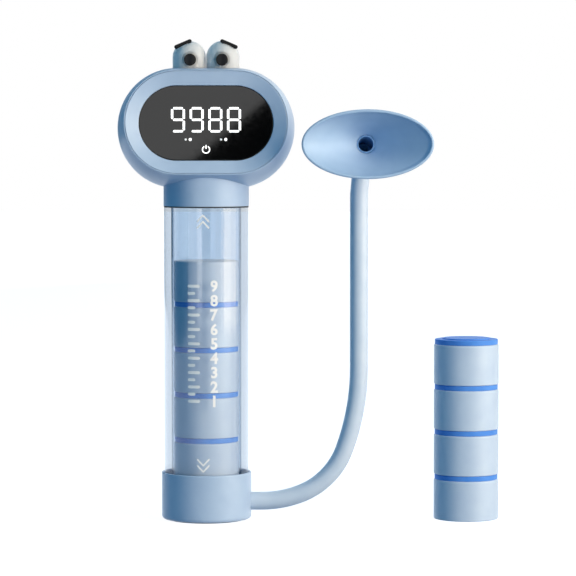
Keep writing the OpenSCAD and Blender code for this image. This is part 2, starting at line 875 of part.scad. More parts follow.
module board_screws() {
    color("#9AA0A6") head_space() head_corners(board_boss_centre, board_boss_angle) {
        translate([0, 0, board_w]) cylinder(r = board_screw_r, h = board_screw_l);
        translate([0, 0, board_w - board_head_h]) cylinder(r = board_screw_r * 2, h = board_head_h);
    }
}

module shell_screws() {
    color("#9AA0A6") head_space() head_corners(shell_boss_centre, shell_boss_angle) {
        translate([0, 0, shell_head_w]) cylinder(r = shell_screw_r, h = shell_screw_l);
        difference() {
            translate([0, 0, shell_head_w - shell_head_h]) cylinder(r = shell_head_r, h = shell_head_h);
            for (a = [0, 90]) rotate([0, 0, a]) translate([0, 0, shell_head_w - shell_head_h])
                cube([shell_head_r, shell_slot, shell_head_h], center = true);
        }
    }
}

// Eyes

// The body of an eye on side s: a straight wall from height low with a half ball on top
module eye_dome(s, r, low) {
    translate([s * eye_x, eye_y, low]) cylinder(r = r, h = eye_z - low);
    translate([s * eye_x, eye_y, eye_z]) sphere(r = r);
}

// Turns what looks along -Y from an eye's centre towards its pupil, for side s
module pupil_aim(s) {
    translate([s * eye_x, eye_y, eye_z]) rotate([asin(pupil_drop / eye_r), 0, -s * asin(pupil_toe / eye_r)])
        rotate([90, 0, 0]) children();
}

// The part of a dome that lies within a round outline on its front
module eye_patch(s, d, r) {
    intersection() {
        eye_dome(s, r, eye_plate_z);
        pupil_aim(s) cylinder(r = d / 2, h = eye_d);
    }
}

module eye_pair() {
    plate_x = eye_x + eye_r + loose_gap;
    color("#E6EAEE") difference() {
        union() {
            for (s = [-1, 1]) {
                eye_dome(s, eye_r, eye_plate_z);
                eye_patch(s, ring_d, eye_r + ring_h);
            }
            translate([-plate_x, eye_y - eye_plate_y, eye_plate_z])
                cube([plate_x * 2, eye_plate_y * 2, eye_plate_h]);
        }
        for (s = [-1, 1]) {
            eye_dome(s, eye_r - eye_wall, eye_plate_z - over);
            brow_bar(s, brow_d / 2 + fit_gap);
        }
    }
}

module pupil(s) {
    color("#121418") difference() {
        eye_patch(s, pupil_d, eye_r + ring_h + pupil_h);
        eye_dome(s, eye_r + ring_h + fit_gap, eye_plate_z - over);
    }
}

// A brow is a bar with round ends, laid in a groove across the top of its eye
module brow_bar(s, r) {
    half = (brow_len - brow_d) / 2;
    translate([s * (eye_x + brow_out), eye_y - brow_front, eye_z + brow_up])
        rotate([0, 90 + s * brow_slope, 0]) {
            translate([0, 0, -half]) cylinder(r = r, h = half * 2);
            for (t = [-1, 1]) translate([0, 0, t * half]) sphere(r = r);
        }
}

module brow(s) {
    color("#121418") brow_bar(s, brow_d / 2);
}

// Each node is drawn once

base_cup();
foot_pad();
support_grid();
landing_cushion();
hose_nipple();
tube_gasket();
clear_tube();
neck_seal();
neck_collar();
top_bumper();
float_body();
float_magnet();
stack_slugs();
for (i = [1 : weight_count]) {
    color("#8FB6DE") in_stack(i) weight_cup();
    color("#3D82D8") in_stack(i) weight_cap();
    color("#9FC0E6") in_spares(i) weight_cup();
    color("#5C92E6") in_spares(i) weight_cap();
    color("#9AA0A6") in_spares(i) weight_slug();
}
hose();
mouth_elbow();
mouth_funnel();
front_shell();
rear_shell();
face_bezel();
display_lens();
display_board();
digit_module();
touch_pad();
battery_cell();
charge_board();
charge_socket();
sensor_board();
board_screws();
shell_screws();
eye_pair();
pupil(-1);  // pupil_left
pupil(1);  // pupil_right
brow(-1);  // brow_left
brow(1);  // brow_right
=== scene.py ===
import json
import math

import bmesh
import bpy
from mathutils import Matrix, Vector


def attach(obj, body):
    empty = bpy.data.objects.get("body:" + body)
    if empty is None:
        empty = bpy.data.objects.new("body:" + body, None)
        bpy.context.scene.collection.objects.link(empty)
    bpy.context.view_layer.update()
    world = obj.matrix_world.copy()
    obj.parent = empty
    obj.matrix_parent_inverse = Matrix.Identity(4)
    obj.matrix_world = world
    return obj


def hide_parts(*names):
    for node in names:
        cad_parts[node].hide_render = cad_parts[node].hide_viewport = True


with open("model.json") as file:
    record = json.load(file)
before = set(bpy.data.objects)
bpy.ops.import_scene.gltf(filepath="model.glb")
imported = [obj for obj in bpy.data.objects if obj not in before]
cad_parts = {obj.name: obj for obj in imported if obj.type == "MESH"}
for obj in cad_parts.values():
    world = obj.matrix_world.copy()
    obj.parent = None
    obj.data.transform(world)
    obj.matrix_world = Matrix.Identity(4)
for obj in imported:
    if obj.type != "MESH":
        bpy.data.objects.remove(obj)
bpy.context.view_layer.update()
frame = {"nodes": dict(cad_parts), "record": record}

# Lengths are millimetres up to the stage, and Blender's are metres. The head has its own space,
# tilted back: u to the right, v up and w forwards, from the middle of its widest ring.
MM = 0.001
# Faces round a turned piece, and the angle in degrees from which an edge looks sharp
SIDES, SHARP = 128, 32
# Play round fitted pieces, tight and loose
FIT, GAP = 0.05, 0.15
# Meshing: points closer than this become one, and edges shorter than this go.
MERGE, SHORTEST = 0.002, 0.001

# Sizes of the real thing, the same as the CAD's
BASE_R, BASE_H, BASE_LOW = 22.4, 24.0, 0.5
TUBE_R, BORE_R, SPIGOT_R = 21.0, 17.5, 19.3
TUBE_LOW, TUBE_TOP, SPIGOT_TOP = 16.8, 156.5, 164.3
LEDGE_Z, LEDGE_R, GRID_Z, CHAMBER_R = 15.8, 18.2, 13.4, 16.6
WEIGHT_R, WEIGHT_H, CAP_R, PITCH = 16.2, 20.1, 15.8, 22.6
STACK_LOW, FLOAT_LOW, FLOAT_H, SPARE_X = 19.2, 109.6, 20.3, 130.4
HOSE_R, HOSE_BORE, HOSE_Z, HOSE_START = 4.5, 3.0, 9.0, 21.0
NECK_R, NECK_BACK_Z = 21.3, 178.3
HEAD_Z, HEAD_TILT, HEAD_R, HEAD_FLAT = 195.75, 8.4, 29.6, 29.0
HEAD_FRONT, HEAD_BACK, SEAM_W, WALL = 21.5, 27.0, -8.0, 2.2
BEZEL_R, WINDOW_R, POCKET_W = 25.45, 18.65, 17.2
LENS_W, LENS_LIP_W, LENS_BACK_W = 18.1, 16.4, 15.3
EYE_R, EYE_X, EYE_Y, EYE_Z, EYE_LOW = 8.25, 8.35, -3.5, 231.0, 221.65


# Camera

CAMERA_PLACE = (5.0, -1450.0, 191.5)
CAMERA_AIM = (40.85, 0.0, 116.0)
# Degrees across the picture
CAMERA_ANGLE = 11.34


def make_camera():
    data = bpy.data.cameras.new("camera")
    camera = bpy.data.objects.new("camera", data)
    bpy.context.scene.collection.objects.link(camera)
    place, aim = Vector(CAMERA_PLACE) * MM, Vector(CAMERA_AIM) * MM
    camera.location = place
    camera.rotation_euler = (aim - place).to_track_quat("-Z", "Y").to_euler()
    data.sensor_width = 36
    data.lens = data.sensor_width / 2 / math.tan(math.radians(CAMERA_ANGLE) / 2)
    bpy.context.scene.camera = camera


make_camera()


# Mesh helpers

HEAD_TURN = Matrix.Rotation(math.radians(90 - HEAD_TILT), 4, "X")
HEAD_SPACE = Matrix.Translation((0, 0, HEAD_Z)) @ HEAD_TURN

# Cut pieces: how wide their sharp edges are rounded, and from which angle in degrees
CUT_EDGE, CUT_ANGLE = 0.2, 40
# Rounded outlines: the angle in degrees that counts as no corner, the share of a leg that one arc
# may take, and the place of the extra point on a leg, as a multiple of the arc's reach
NEARLY_STRAIGHT, LEG_SHARE, HOLD = 179, 0.49, 1.4


def finished(name, bm, space=None, sharp=SHARP):
    """The mesh, given in millimetres in its own space, as an object of the scene."""
    bmesh.ops.remove_doubles(bm, verts=bm.verts, dist=MERGE)
    bmesh.ops.dissolve_degenerate(bm, edges=bm.edges, dist=SHORTEST)
    bmesh.ops.recalc_face_normals(bm, faces=bm.faces)
    bm.transform(Matrix.Scale(MM, 4) @ (space or Matrix.Identity(4)))
    mesh = bpy.data.meshes.new(name)
    bm.to_mesh(mesh)
    bm.free()
    obj = bpy.data.objects.new(name, mesh)
    bpy.context.scene.collection.objects.link(obj)
    smooth(obj, sharp)
    return obj


def smooth(obj, sharp=SHARP):
    obj.data.polygons.foreach_set("use_smooth", [True] * len(obj.data.polygons))
    obj.data.set_sharp_from_angle(angle=math.radians(sharp))


def loft(name, rings, space=None, closed=True, sharp=SHARP):
    """Rings of equal length joined by quads; a closed loft joins its last ring to its first."""
    bm = bmesh.new()
    made = [[bm.verts.new(p) for p in ring] for ring in rings]
    pairs = zip(made, made[1:] + made[:1]) if closed else zip(made, made[1:])
    for low, high in pairs:
        for i in range(len(low)):
            bm.faces.new((low[i], low[i - 1], high[i - 1], high[i]))
    return finished(name, bm, space, sharp)


def rounded(corners, step=18):
    """An outline through (x, y, radius) corners, each one an arc of its radius with a point about
    every step degrees. A long leg gets a point close to each arc, which keeps the arc's shading off
    the flat."""
    out = []
    for i, (x, y, radius) in enumerate(corners):
        here = Vector((x, y))
        before = Vector(corners[i - 1][:2]) - here
        after = Vector(corners[(i + 1) % len(corners)][:2]) - here
        turn = before.angle(after) if before.length and after.length else math.pi
        if not radius or turn > math.radians(NEARLY_STRAIGHT):
            out.append((x, y))
            continue
        longest = min(before.length, after.length) * LEG_SHARE
        reach = min(radius / math.tan(turn / 2), longest)
        radius = reach * math.tan(turn / 2)
        bisector = (before.normalized() + after.normalized()).normalized()
        centre = here + bisector * (radius / math.sin(turn / 2))
        start = here + before.normalized() * reach - centre
        sweep = math.pi - turn
        side = math.copysign(1, before.cross(after))
        count = max(2, round(math.degrees(sweep) / step))
        held = [
            [tuple(here + leg.normalized() * reach * HOLD)] if 2 * HOLD * reach < leg.length else []
            for leg in (before, after)
        ]
        out += held[0]
        for k in range(count + 1):
            spoke = Matrix.Rotation(-side * sweep * k / count, 2) @ start
            out.append(tuple(centre + spoke))
        out += held[1]
    return out


def lathe(name, outline, x=0.0, y=0.0, z=0.0, sides=SIDES):
    """An outline of (radius, height) turned about the vertical. One that starts on the axis also
    ends there, and any other one is closed."""
    turns = [math.tau * i / sides for i in range(sides)]
    rings = [[(x + r * math.cos(a), y + r * math.sin(a), z + h) for a in turns] for r, h in outline]
    return loft(name, rings, closed=outline[0][0] > 0)


def stadium(radius, w):
    """A ring in the head's space, with two round ends and straight parts of HEAD_FLAT."""
    ring, half, flat_steps = [], SIDES // 2, 6
    for end in (1, -1):
        for k in range(half + 1):
            a = math.pi * k / half - math.pi / 2 * end
            ring.append((end * HEAD_FLAT / 2 + radius * math.cos(a), radius * math.sin(a), w))
        for k in range(1, flat_steps):
            ring.append((end * HEAD_FLAT * (0.5 - k / flat_steps), end * radius, w))
    return ring


def head_loft(name, outline):
    """An outline of (radius, w) carried round the head, open or closed as in a lathe."""
    return loft(name, [stadium(r, w) for r, w in outline], HEAD_SPACE, closed=outline[0][0] > 0)


def plates(loops, low, high):
    """Closed outlines of (x, y) as a mesh of plates from low to high along the third axis."""
    bm = bmesh.new()
    for loop in loops:
        under = [bm.verts.new((x, y, low)) for x, y in loop]
        over = [bm.verts.new((x, y, high)) for x, y in loop]
        bm.faces.new(over)
        bm.faces.new(under[::-1])
        for i in range(len(loop)):
            bm.faces.new((under[i - 1], under[i], over[i], over[i - 1]))
    return bm


def sweep(name, path, normal, outline, sides=40):
    """An outline of (distance, radius) carried along a flat path whose plane has that normal, open
    or closed as in a lathe."""
    points = [Vector(p) for p in path]
    along = [0.0]
    for a, b in zip(points, points[1:]):
        along.append(along[-1] + (b - a).length)
    side = Vector(normal).normalized()

    def at(distance):
        k = max(i for i in range(len(along) - 1) if along[i] <= max(distance, 0))
        tangent = (points[k + 1] - points[k]).normalized()
        if 0 < k < len(points) - 2:
            share = (distance - along[k]) / (along[k + 1] - along[k])
            low = (points[k + 1] - points[k - 1]).normalized()
            high = (points[k + 2] - points[k]).normalized()
            turned = low.lerp(high, share).normalized()
        else:
            turned = tangent
        return points[k] + tangent * (distance - along[k]), turned

    rings = []
    for distance, radius in outline:
        centre, tangent = at(distance)
        up = tangent.cross(side)
        turns = [math.tau * i / sides for i in range(sides)]
        rings.append([centre + (side * math.cos(a) + up * math.sin(a)) * radius for a in turns])
    return loft(name, rings, closed=outline[0][1] > 0)


def rod(start, end, radius):
    """A round bar from start to end, to cut with."""
    reach = (Vector(end) - Vector(start)).length
    across = (0, 1, 0) if abs(end[1] - start[1]) < reach / 2 else (1, 0, 0)
    return sweep("rod", [start, end], across, [(0, 0), (0, radius), (reach, radius), (reach, 0)])


def cut(obj, *cutters):
    """Takes the cutters out of obj, and rounds its sharp edges."""
    for cutter in cutters:
        mod = obj.modifiers.new("cut", "BOOLEAN")
        mod.operation, mod.solver, mod.object = "DIFFERENCE", "EXACT", cutter
    apply_modifiers(obj)
    for cutter in cutters:
        bpy.data.objects.remove(cutter)
    mod = obj.modifiers.new("edges", "BEVEL")
    mod.width, mod.segments, mod.limit_method = CUT_EDGE * MM, 2, "ANGLE"
    mod.angle_limit = math.radians(CUT_ANGLE)
    apply_modifiers(obj)
    smooth(obj)
    return obj


def evaluated_mesh(obj):
    seen = obj.evaluated_get(bpy.context.evaluated_depsgraph_get())
    return bpy.data.meshes.new_from_object(seen)


def apply_modifiers(obj):
    mesh = evaluated_mesh(obj)
    obj.modifiers.clear()
    obj.data = mesh


def dress(obj, body, slot, material, *nodes):
    """Gives a new piece its material and the body that it rides on, and hides the CAD nodes that it
    replaces. Its slot is not used.
    """
    obj.data.materials.clear()
    obj.data.materials.append(material)
    if nodes:
        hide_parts(*nodes)
    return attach(obj, body)


# Materials

# Most of a noise's values lie between these two.
NOISE_LOW, NOISE_HIGH = 0.3, 0.7


def tone(code):
    """A colour written as #RRGGBB, in the linear values that shaders take."""
    parts = [int(code[i:i + 2], 16) / 255 for i in (1, 3, 5)]
    return [c / 12.92 if c <= 0.04045 else ((c + 0.055) / 1.055) ** 2.4 for c in parts] + [1.0]


def tones(*stops):
    """A ramp's stops, with their colours written as #RRGGBB."""
    return [(at, tone(code)) for at, code in stops]


class Finish:
    """A material's nodes, built up step by step."""

    def __init__(self, name):
        self.material = bpy.data.materials.new(name)
        self.material.use_nodes = True
        self.tree = self.material.node_tree
        self.shader = self.tree.nodes["Principled BSDF"]
        self.output = self.tree.nodes["Material Output"]
        self.place = self.tree.nodes.new("ShaderNodeTexCoord").outputs["Object"]

    def link(self, a, b):
        self.tree.links.new(a, b)

    def noise(self, size, detail=3.0):
        """Noise whose marks are about size millimetres across."""
        node = self.tree.nodes.new("ShaderNodeTexNoise")
        node.inputs["Scale"].default_value = 1 / (size * MM)
        node.inputs["Detail"].default_value = detail
        self.link(self.place, node.inputs["Vector"])
        return node.outputs[0]

    def ramp(self, source, stops):
        node = self.tree.nodes.new("ShaderNodeValToRGB")
        for k, (at, colour) in enumerate(stops):
            stop = node.color_ramp.elements[k] if k < 2 else node.color_ramp.elements.new(at)
            stop.position, stop.color = at, colour
        self.link(source, node.inputs[0])
        return node.outputs[0]

    def range(self, source, low, high):
        """Noise taken to values from low to high."""
        node = self.tree.nodes.new("ShaderNodeMapRange")
        ends = {"From Min": NOISE_LOW, "From Max": NOISE_HIGH, "To Min": low, "To Max": high}
        for name, value in ends.items():
            node.inputs[name].default_value = value
        self.link(source, node.inputs["Value"])
        return node.outputs[0]

    def mottle(self, size, dark, light, detail=3.0):
        """A base colour in two tones, with marks about size millimetres across."""
        colour = self.ramp(self.noise(size, detail), tones((NOISE_LOW, dark), (NOISE_HIGH, light)))
        self.link(colour, self.shader.inputs["Base Color"])

    def bump(self, source, depth):
        """Bump whose marks are about depth millimetres deep."""
        node = self.tree.nodes.new("ShaderNodeBump")
        node.inputs["Distance"].default_value = depth * MM
        self.link(source, node.inputs["Height"])
        self.link(node.outputs[0], self.shader.inputs["Normal"])

    def set(self, **values):
        """Sets the shader's inputs by their names, written in small letters with underscores."""
        for name, value in values.items():
            title = name.replace("_", " ").title().replace("Ior", "IOR")
            self.shader.inputs[title].default_value = value


def moulded(name, dark, light, roughness, grain, spread=0.05, mottle=9.0, depth=0.004, **values):
    """Moulded plastic or rubber: a faint mottle in the colour, and a fine grain in the gloss."""
    finish = Finish(name)
    finish.mottle(mottle, dark, light, detail=2.0)
    fine = finish.noise(grain)
    gloss = finish.range(fine, roughness - spread, roughness + spread)
    finish.link(gloss, finish.shader.inputs["Roughness"])
    finish.bump(fine, depth)
    finish.set(**values)
    return finish.material


BLUE = moulded("light_blue", "#A9C2E1", "#B0C8E5", 0.4, grain=0.5)
BLUE_GLOSS = moulded(
    "light_blue_gloss", "#A9C2E1", "#B0C8E5", 0.33, spread=0.03, grain=0.6, depth=0.002,
)
CAP_BLUE = moulded("cap_blue", "#4887E2", "#5895EA", 0.45, grain=0.5, specular_ior_level=0.15)
WHITE = moulded(
    "eye_white", "#CED3D8", "#D6DADE", 0.4, spread=0.03, grain=0.6, depth=0.002,
    specular_ior_level=0.25,
    subsurface_weight=0.85, subsurface_radius=(1, 1, 1), subsurface_scale=14 * MM,
)
WEIGHT_BLUE = moulded("weight_blue", "#B3C8E3", "#BBCFE7", 0.4, grain=0.5)
BLACK = moulded("mark_black", "#0A0B0D", "#121418", 0.34, grain=0.4, specular_ior_level=0.2)
LENS = moulded(
    "lens_black", "#050607", "#08090A", 0.032, spread=0.01, mottle=30, grain=2.0, depth=0.00001,
)
HOSE = moulded("hose_silicone", "#BFD2E8", "#C7D8EC", 0.42, grain=0.3, depth=0.006)
# The elbow is the light blue plastic, coloured darker: painted shade for its end, seen deep in the
# funnel's throat.
ELBOW_SHADE_BLUE = moulded("elbow_shade_blue", "#6C9ACB", "#76A2D1", 0.5, grain=0.4)
SILICONE = moulded("funnel_silicone", "#9DBCDF", "#A5C3E4", 0.48, grain=0.3, depth=0.006)
SEAL = moulded("seal_rubber", "#1D2228", "#2A3038", 0.6, grain=0.3, depth=0.01)
CUSHION = moulded("cushion_rubber", "#5A84B0", "#6B94BE", 0.6, grain=0.25, depth=0.02)
BOARD = moulded("board_green", "#25543D", "#35684F", 0.45, mottle=1.6, grain=0.2)
MODULE = moulded("module_grey", "#343940", "#40464E", 0.55, grain=0.3)
FOIL = moulded(
    "cell_foil", "#AEB4BC", "#C9CED6", 0.32, spread=0.1, mottle=3.0, grain=1.2, depth=0.03,
    metallic=0.9,
)
KEY_FOIL = moulded("key_foil", "#B9923E", "#D2AC58", 0.35, spread=0.08, grain=0.3, metallic=1.0)
STEEL = moulded(
    "steel", "#9BA0A7", "#B4B9C0", 0.3, spread=0.1, mottle=2.0, grain=0.2, metallic=1.0,
)
PRINT = moulded("print_white", "#F2F5F8", "#FBFCFE", 0.4, grain=0.25)

# The share of its light that a lit mark keeps where it's weakest
GLOW_LOW = 0.94


def lit_ink(name, code, power):
    """A lit display mark: a white plastic diffuser that shines."""
    finish = Finish(name)
    colour = finish.ramp(finish.noise(1.2), tones((0.25, "#E9EEF2"), (0.75, "#FFFFFF")))
    finish.link(colour, finish.shader.inputs["Base Color"])
    weak = [c * GLOW_LOW for c in tone(code)[:3]] + [1]
    glow = finish.ramp(finish.noise(2.5), [(0.2, weak), (0.8, tone(code))])
    finish.link(glow, finish.shader.inputs["Emission Color"])
    finish.set(roughness=0.5, emission_strength=power)
    return finish.material


LIT = lit_ink("lit_white", "#FFFFFF", 1.0)
DIM = lit_ink("lit_dim", "#9EA3A8", 0.5)


def largest(tree, *sources):
    """The largest of several sockets."""
    last = sources[0]
    for source in sources[1:]:
        node = tree.nodes.new("ShaderNodeMath")
        node.operation = "MAXIMUM"
        tree.links.new(last, node.inputs[0])
        tree.links.new(source, node.inputs[1])
        last = node.outputs[0]
    return last


# How steeply the gloss of clear plastic grows towards its edges
GLOSS_POWER = 5


def clear_plastic(name, tints, shine, painted_far_reflection=None):
    """Clear plastic that doesn't bend light: a see-through shader under a gloss that grows at the
    edges. tints run from the face-on view to the edge, and shine is the gloss seen face on.
    The last argument paints a reflection on the far side of a bore, where a real wall would mirror
    its surroundings; it is picked by the side of the face that is seen. Light on its way to what
    stands in the bore isn't tinted by it."""
    finish = Finish(name)
    tree = finish.tree
    edge = tree.nodes.new("ShaderNodeLayerWeight")
    edge.inputs["Blend"].default_value = 0.5
    see = tree.nodes.new("ShaderNodeBsdfTransparent")
    tint = finish.ramp(edge.outputs["Facing"], tints)
    # Painted reflection: the far side of the bore, seen through the near wall, takes a darker tint.
    if painted_far_reflection:
        side = tree.nodes.new("ShaderNodeNewGeometry").outputs
        path = tree.nodes.new("ShaderNodeLightPath").outputs
        near = largest(tree, side["Backfacing"], path["Is Shadow Ray"], path["Is Diffuse Ray"])
        pick = tree.nodes.new("ShaderNodeMix")
        pick.data_type = "RGBA"
        finish.link(near, pick.inputs["Factor"])
        finish.link(finish.ramp(edge.outputs["Facing"], painted_far_reflection), pick.inputs["A"])
        finish.link(tint, pick.inputs["B"])
        tint = pick.outputs["Result"]
    finish.link(tint, see.inputs["Color"])
    finish.mottle(6.0, "#F2F6FA", "#FFFFFF")
    finish.link(finish.range(finish.noise(1.5), 0.05, 0.09), finish.shader.inputs["Roughness"])
    rise = tree.nodes.new("ShaderNodeMath")
    rise.operation = "POWER"
    rise.inputs[1].default_value = GLOSS_POWER
    rim = tree.nodes.new("ShaderNodeMapRange")
    rim.inputs["To Min"].default_value, rim.inputs["To Max"].default_value = shine, 1.0
    mix = tree.nodes.new("ShaderNodeMixShader")
    finish.link(edge.outputs["Facing"], rise.inputs[0])
    finish.link(rise.outputs[0], rim.inputs["Value"])
    finish.link(rim.outputs[0], mix.inputs[0])
    finish.link(see.outputs[0], mix.inputs[1])
    finish.link(finish.shader.outputs[0], mix.inputs[2])
    finish.link(mix.outputs[0], finish.output.inputs["Surface"])
    finish.set(metallic=1.0)
    return finish.material


CLEAR = clear_plastic("clear_plastic", tones(
    (0.0, "#FEFEFE"), (0.37, "#FAFBFC"), (0.46, "#E1E5E9"), (0.62, "#E4E7EB"), (0.82, "#E8EBEE"),
    (1.0, "#DDE5EF"),
), 0.06)
# The bore darkens towards its edges: painted shade for the dark lines at the sides of a real tube's
# bore.
BORE_EDGE_SHADE = tones((0.0, "#FEFEFE"), (0.55, "#F8F9FB"), (0.72, "#9AA8B8"), (1.0, "#66727F"))
FAR_REFLECTION_PAINT = tones((0.0, "#A6BACE"), (0.4, "#B4C6D8"), (0.66, "#D8E2EE"))
# A painted reflection on the bore's far side: beside the column it's pale at its edges, and above
# the column it's dark there.
BORE_LOW, BORE_HIGH = [
    clear_plastic(name, BORE_EDGE_SHADE, 0.03, FAR_REFLECTION_PAINT + tones((0.85, code)))
    for name, code in (("clear_bore_low", "#F0F4F8"), ("clear_bore_high", "#8E9DAE"))
]

# CAD pieces that stay get these finishes, by the record's slots.
SLOT_FINISH = {
    "light_blue_plastic": BLUE, "cap_blue_plastic": CAP_BLUE, "clear_plastic": CLEAR,
    "lens_black": LENS, "eye_white": WHITE, "mark_black": BLACK, "hose_rubber": HOSE,
    "funnel_rubber": SILICONE, "seal_rubber": SEAL, "cushion_rubber": CUSHION,
    "board_green": BOARD, "module_grey": MODULE, "key_foil": KEY_FOIL, "cell_foil": FOIL,
    "steel": STEEL,
}
for piece in frame["record"]["subparts"]:
    mesh = frame["nodes"][piece["node"]].data
    mesh.materials.clear()
    mesh.materials.append(SLOT_FINISH[piece["material_slot"]])


# Hose, built first because its place sets the mouthpiece's

# Each bend's radius, and its direction in degrees where it starts and ends: 0 is level, 90 upright.
BENDS = [(54.0, 0, 20), (38.0, 20, 70), (120.0, 70, 90)]
BEND_STEP, BEND_START = 2, 27.98
LEAN, LEAN_R, TOP_STRAIGHT, HOSE_TOP_Z = 5.5, 36.0, 8.6, 173.567
# The middle of a rounded edge stands in by this share of its size.
ROUND = 0.3


def hose_route():
    """The hose's centreline: out of the base, round three bends, up, and over by the lean."""
    x, z = BEND_START, HOSE_Z
    points = [(HOSE_START, 0, HOSE_Z), (x, 0, z)]
    for radius, low, high in BENDS:
        start = math.radians(low)
        cx, cz = x - radius * math.sin(start), z + radius * math.cos(start)
        count = round((high - low) / BEND_STEP)
        for k in range(1, count + 1):
            a = math.radians(low + (high - low) * k / count)
            points.append((cx + radius * math.sin(a), 0, cz - radius * math.cos(a)))
        x, z = points[-1][0], points[-1][2]
    lean = math.radians(LEAN)
    top_z = HOSE_TOP_Z - TOP_STRAIGHT * math.cos(lean) - LEAN_R * math.sin(lean)
    upright_steps, lean_steps = 8, 4
    points += [(x, 0, z + (top_z - z) * k / upright_steps) for k in range(1, upright_steps + 1)]
    for k in range(1, lean_steps + 1):
        a = lean * k / lean_steps
        points.append((x + LEAN_R * (1 - math.cos(a)), 0, top_z + LEAN_R * math.sin(a)))
    points.append((points[-1][0] + TOP_STRAIGHT * math.sin(lean), 0, HOSE_TOP_Z))
    return points


def length_of(points):
    return sum((Vector(b) - Vector(a)).length for a, b in zip(points, points[1:]))


HOSE_ROUTE = hose_route()
HOSE_LENGTH = length_of(HOSE_ROUTE)


def make_hose():
    edge, count = 0.35, 150
    outline = [(0, HOSE_BORE), (0, HOSE_R - edge), (edge * ROUND, HOSE_R - edge * ROUND)]
    outline += [(edge + (HOSE_LENGTH - 2 * edge) * k / count, HOSE_R) for k in range(count + 1)]
    outline += [(HOSE_LENGTH - edge * ROUND, HOSE_R - edge * ROUND), (HOSE_LENGTH, HOSE_R - edge)]
    outline += [(HOSE_LENGTH * (1 - k / count), HOSE_BORE) for k in range(count)]
    return sweep("hose_tube", HOSE_ROUTE, (0, 1, 0), outline)


hose = dress(make_hose(), "hose_line", "hose_rubber", HOSE, "hose")


# Mouthpiece

MOUTH_X, MOUTH_Z = 78.78, 188.0
ELBOW_R, ELBOW_LEAD, ELBOW_GRIP, ELBOW_BORE = 12.0, 2.5, 8.0, 2.1
OUTLET_R, OUTLET_DEPTH = 3.7, 16.0
THROAT_R, THROAT_WALL, MOUTH_NECK = 4.55, 2.0, 8.0
MOUTH_W, MOUTH_H, MOUTH_DEPTH, MOUTH_WALL = 64.6, 34.0, 20.0, 1.6
# The cup's flare: the share of it that curves, and the power that opens its tall side sooner
FLARE, TALL_POWER = 0.1, 0.92
# The funnel stays smooth up to this angle, so that its neck runs into its cup.
FUNNEL_SHARP = 50


def make_elbow():
    """A bent pipe: a spigot in the hose, a quarter bend forwards, and a neck for the funnel."""
    lean = math.radians(LEAN)
    top = Vector(HOSE_ROUTE[-1])
    up = Vector((math.sin(lean), 0, math.cos(lean)))
    forward = Vector((0, -1, 0))
    centre = top + up * ELBOW_LEAD + forward * ELBOW_R
    bend = [math.radians(5 * k) for k in range(19)]
    path = [top - up * ELBOW_GRIP, top]
    path += [centre - forward * ELBOW_R * math.cos(a) + up * ELBOW_R * math.sin(a) for a in bend]
    path.append(path[-1] + forward * (MOUTH_NECK - GAP))
    length = length_of(path)
    spigot, edge, lip, count = HOSE_BORE - FIT, 0.4, 0.1, 30
    outline = [(0, ELBOW_BORE), (0, spigot - edge), (edge * 2, spigot), (ELBOW_GRIP - 0.02, spigot)]
    outline += [(ELBOW_GRIP, HOSE_R - edge), (ELBOW_GRIP + edge * ROUND, HOSE_R - edge * ROUND)]
    outer = length - ELBOW_GRIP - 2 * edge
    outline += [(ELBOW_GRIP + edge + outer * k / count, HOSE_R) for k in range(count + 1)]
    outline += [(length - edge * ROUND, HOSE_R - edge * ROUND), (length, HOSE_R - edge)]
    floor = length - OUTLET_DEPTH
    outline += [(length, OUTLET_R + lip), (length - lip, OUTLET_R), (floor, OUTLET_R)]
    outline += [(floor * (1 - k / count), ELBOW_BORE) for k in range(count)]
    return sweep("elbow", path, up.cross(forward), outline)


def make_funnel():
    """An oval cup on a round neck. Its outline is (depth, half width, half height): out along the
    neck, round the fillet, up the outside, over the rounded lip and back down the inside."""
    steps, lip_steps, sides, edge = 14, 8, 160, 0.4
    root = ELBOW_R + MOUTH_NECK
    rim = root + MOUTH_DEPTH
    neck_r, lip = THROAT_R + THROAT_WALL, MOUTH_WALL / 2
    wide, tall = MOUTH_W / 2 - lip, MOUTH_H / 2 - lip

    def middle(t):
        """Half width and half height of the wall's middle, at share t of the cup's depth."""
        flare = t * (1 - FLARE) + FLARE * t * t
        return (THROAT_R + lip + (wide - THROAT_R - lip) * flare,
                THROAT_R + lip + (tall - THROAT_R - lip) * flare ** TALL_POWER)

    outline = [
        (ELBOW_R + edge, neck_r, neck_r), (root - 1.2, neck_r, neck_r),
        (root - 0.3, neck_r + 0.25, neck_r + 0.2),
    ]
    for k in range(2, steps + 1):
        a, b = middle(k / steps)
        outline.append((root + (MOUTH_DEPTH - lip) * k / steps - lip * 0.6, a + lip, b + lip))
    a, b = middle(1)
    for k in range(1, lip_steps):
        turn = math.pi * k / lip_steps
        out, over = lip * math.sin(turn), lip * math.cos(turn)
        outline.append((rim - lip + out, a + over, b + over))
    for k in range(steps, -1, -1):
        a, b = middle(k / steps)
        outline.append((root + (MOUTH_DEPTH - lip) * k / steps, a - lip, b - lip))
    throat_end = [
        (root - 0.5, THROAT_R), (ELBOW_R + edge, THROAT_R), (ELBOW_R, THROAT_R + edge),
        (ELBOW_R, neck_r - edge),
    ]
    outline += [(y, r, r) for y, r in throat_end]
    turns = [math.tau * i / sides for i in range(sides)]
    rings = [[(MOUTH_X + a * math.cos(t), -y, MOUTH_Z + b * math.sin(t)) for t in turns]
             for y, a, b in outline]
    return loft("mouth_cup", rings, sharp=FUNNEL_SHARP)


elbow = dress(make_elbow(), "mouthpiece", "light_blue_plastic", ELBOW_SHADE_BLUE, "mouth_elbow")
funnel = dress(make_funnel(), "funnel", "funnel_rubber", SILICONE, "mouth_funnel")


# Base and tube

PAD_R, PAD_SUNK, BASE_FLOOR = 19.15, 0.9, 3.0


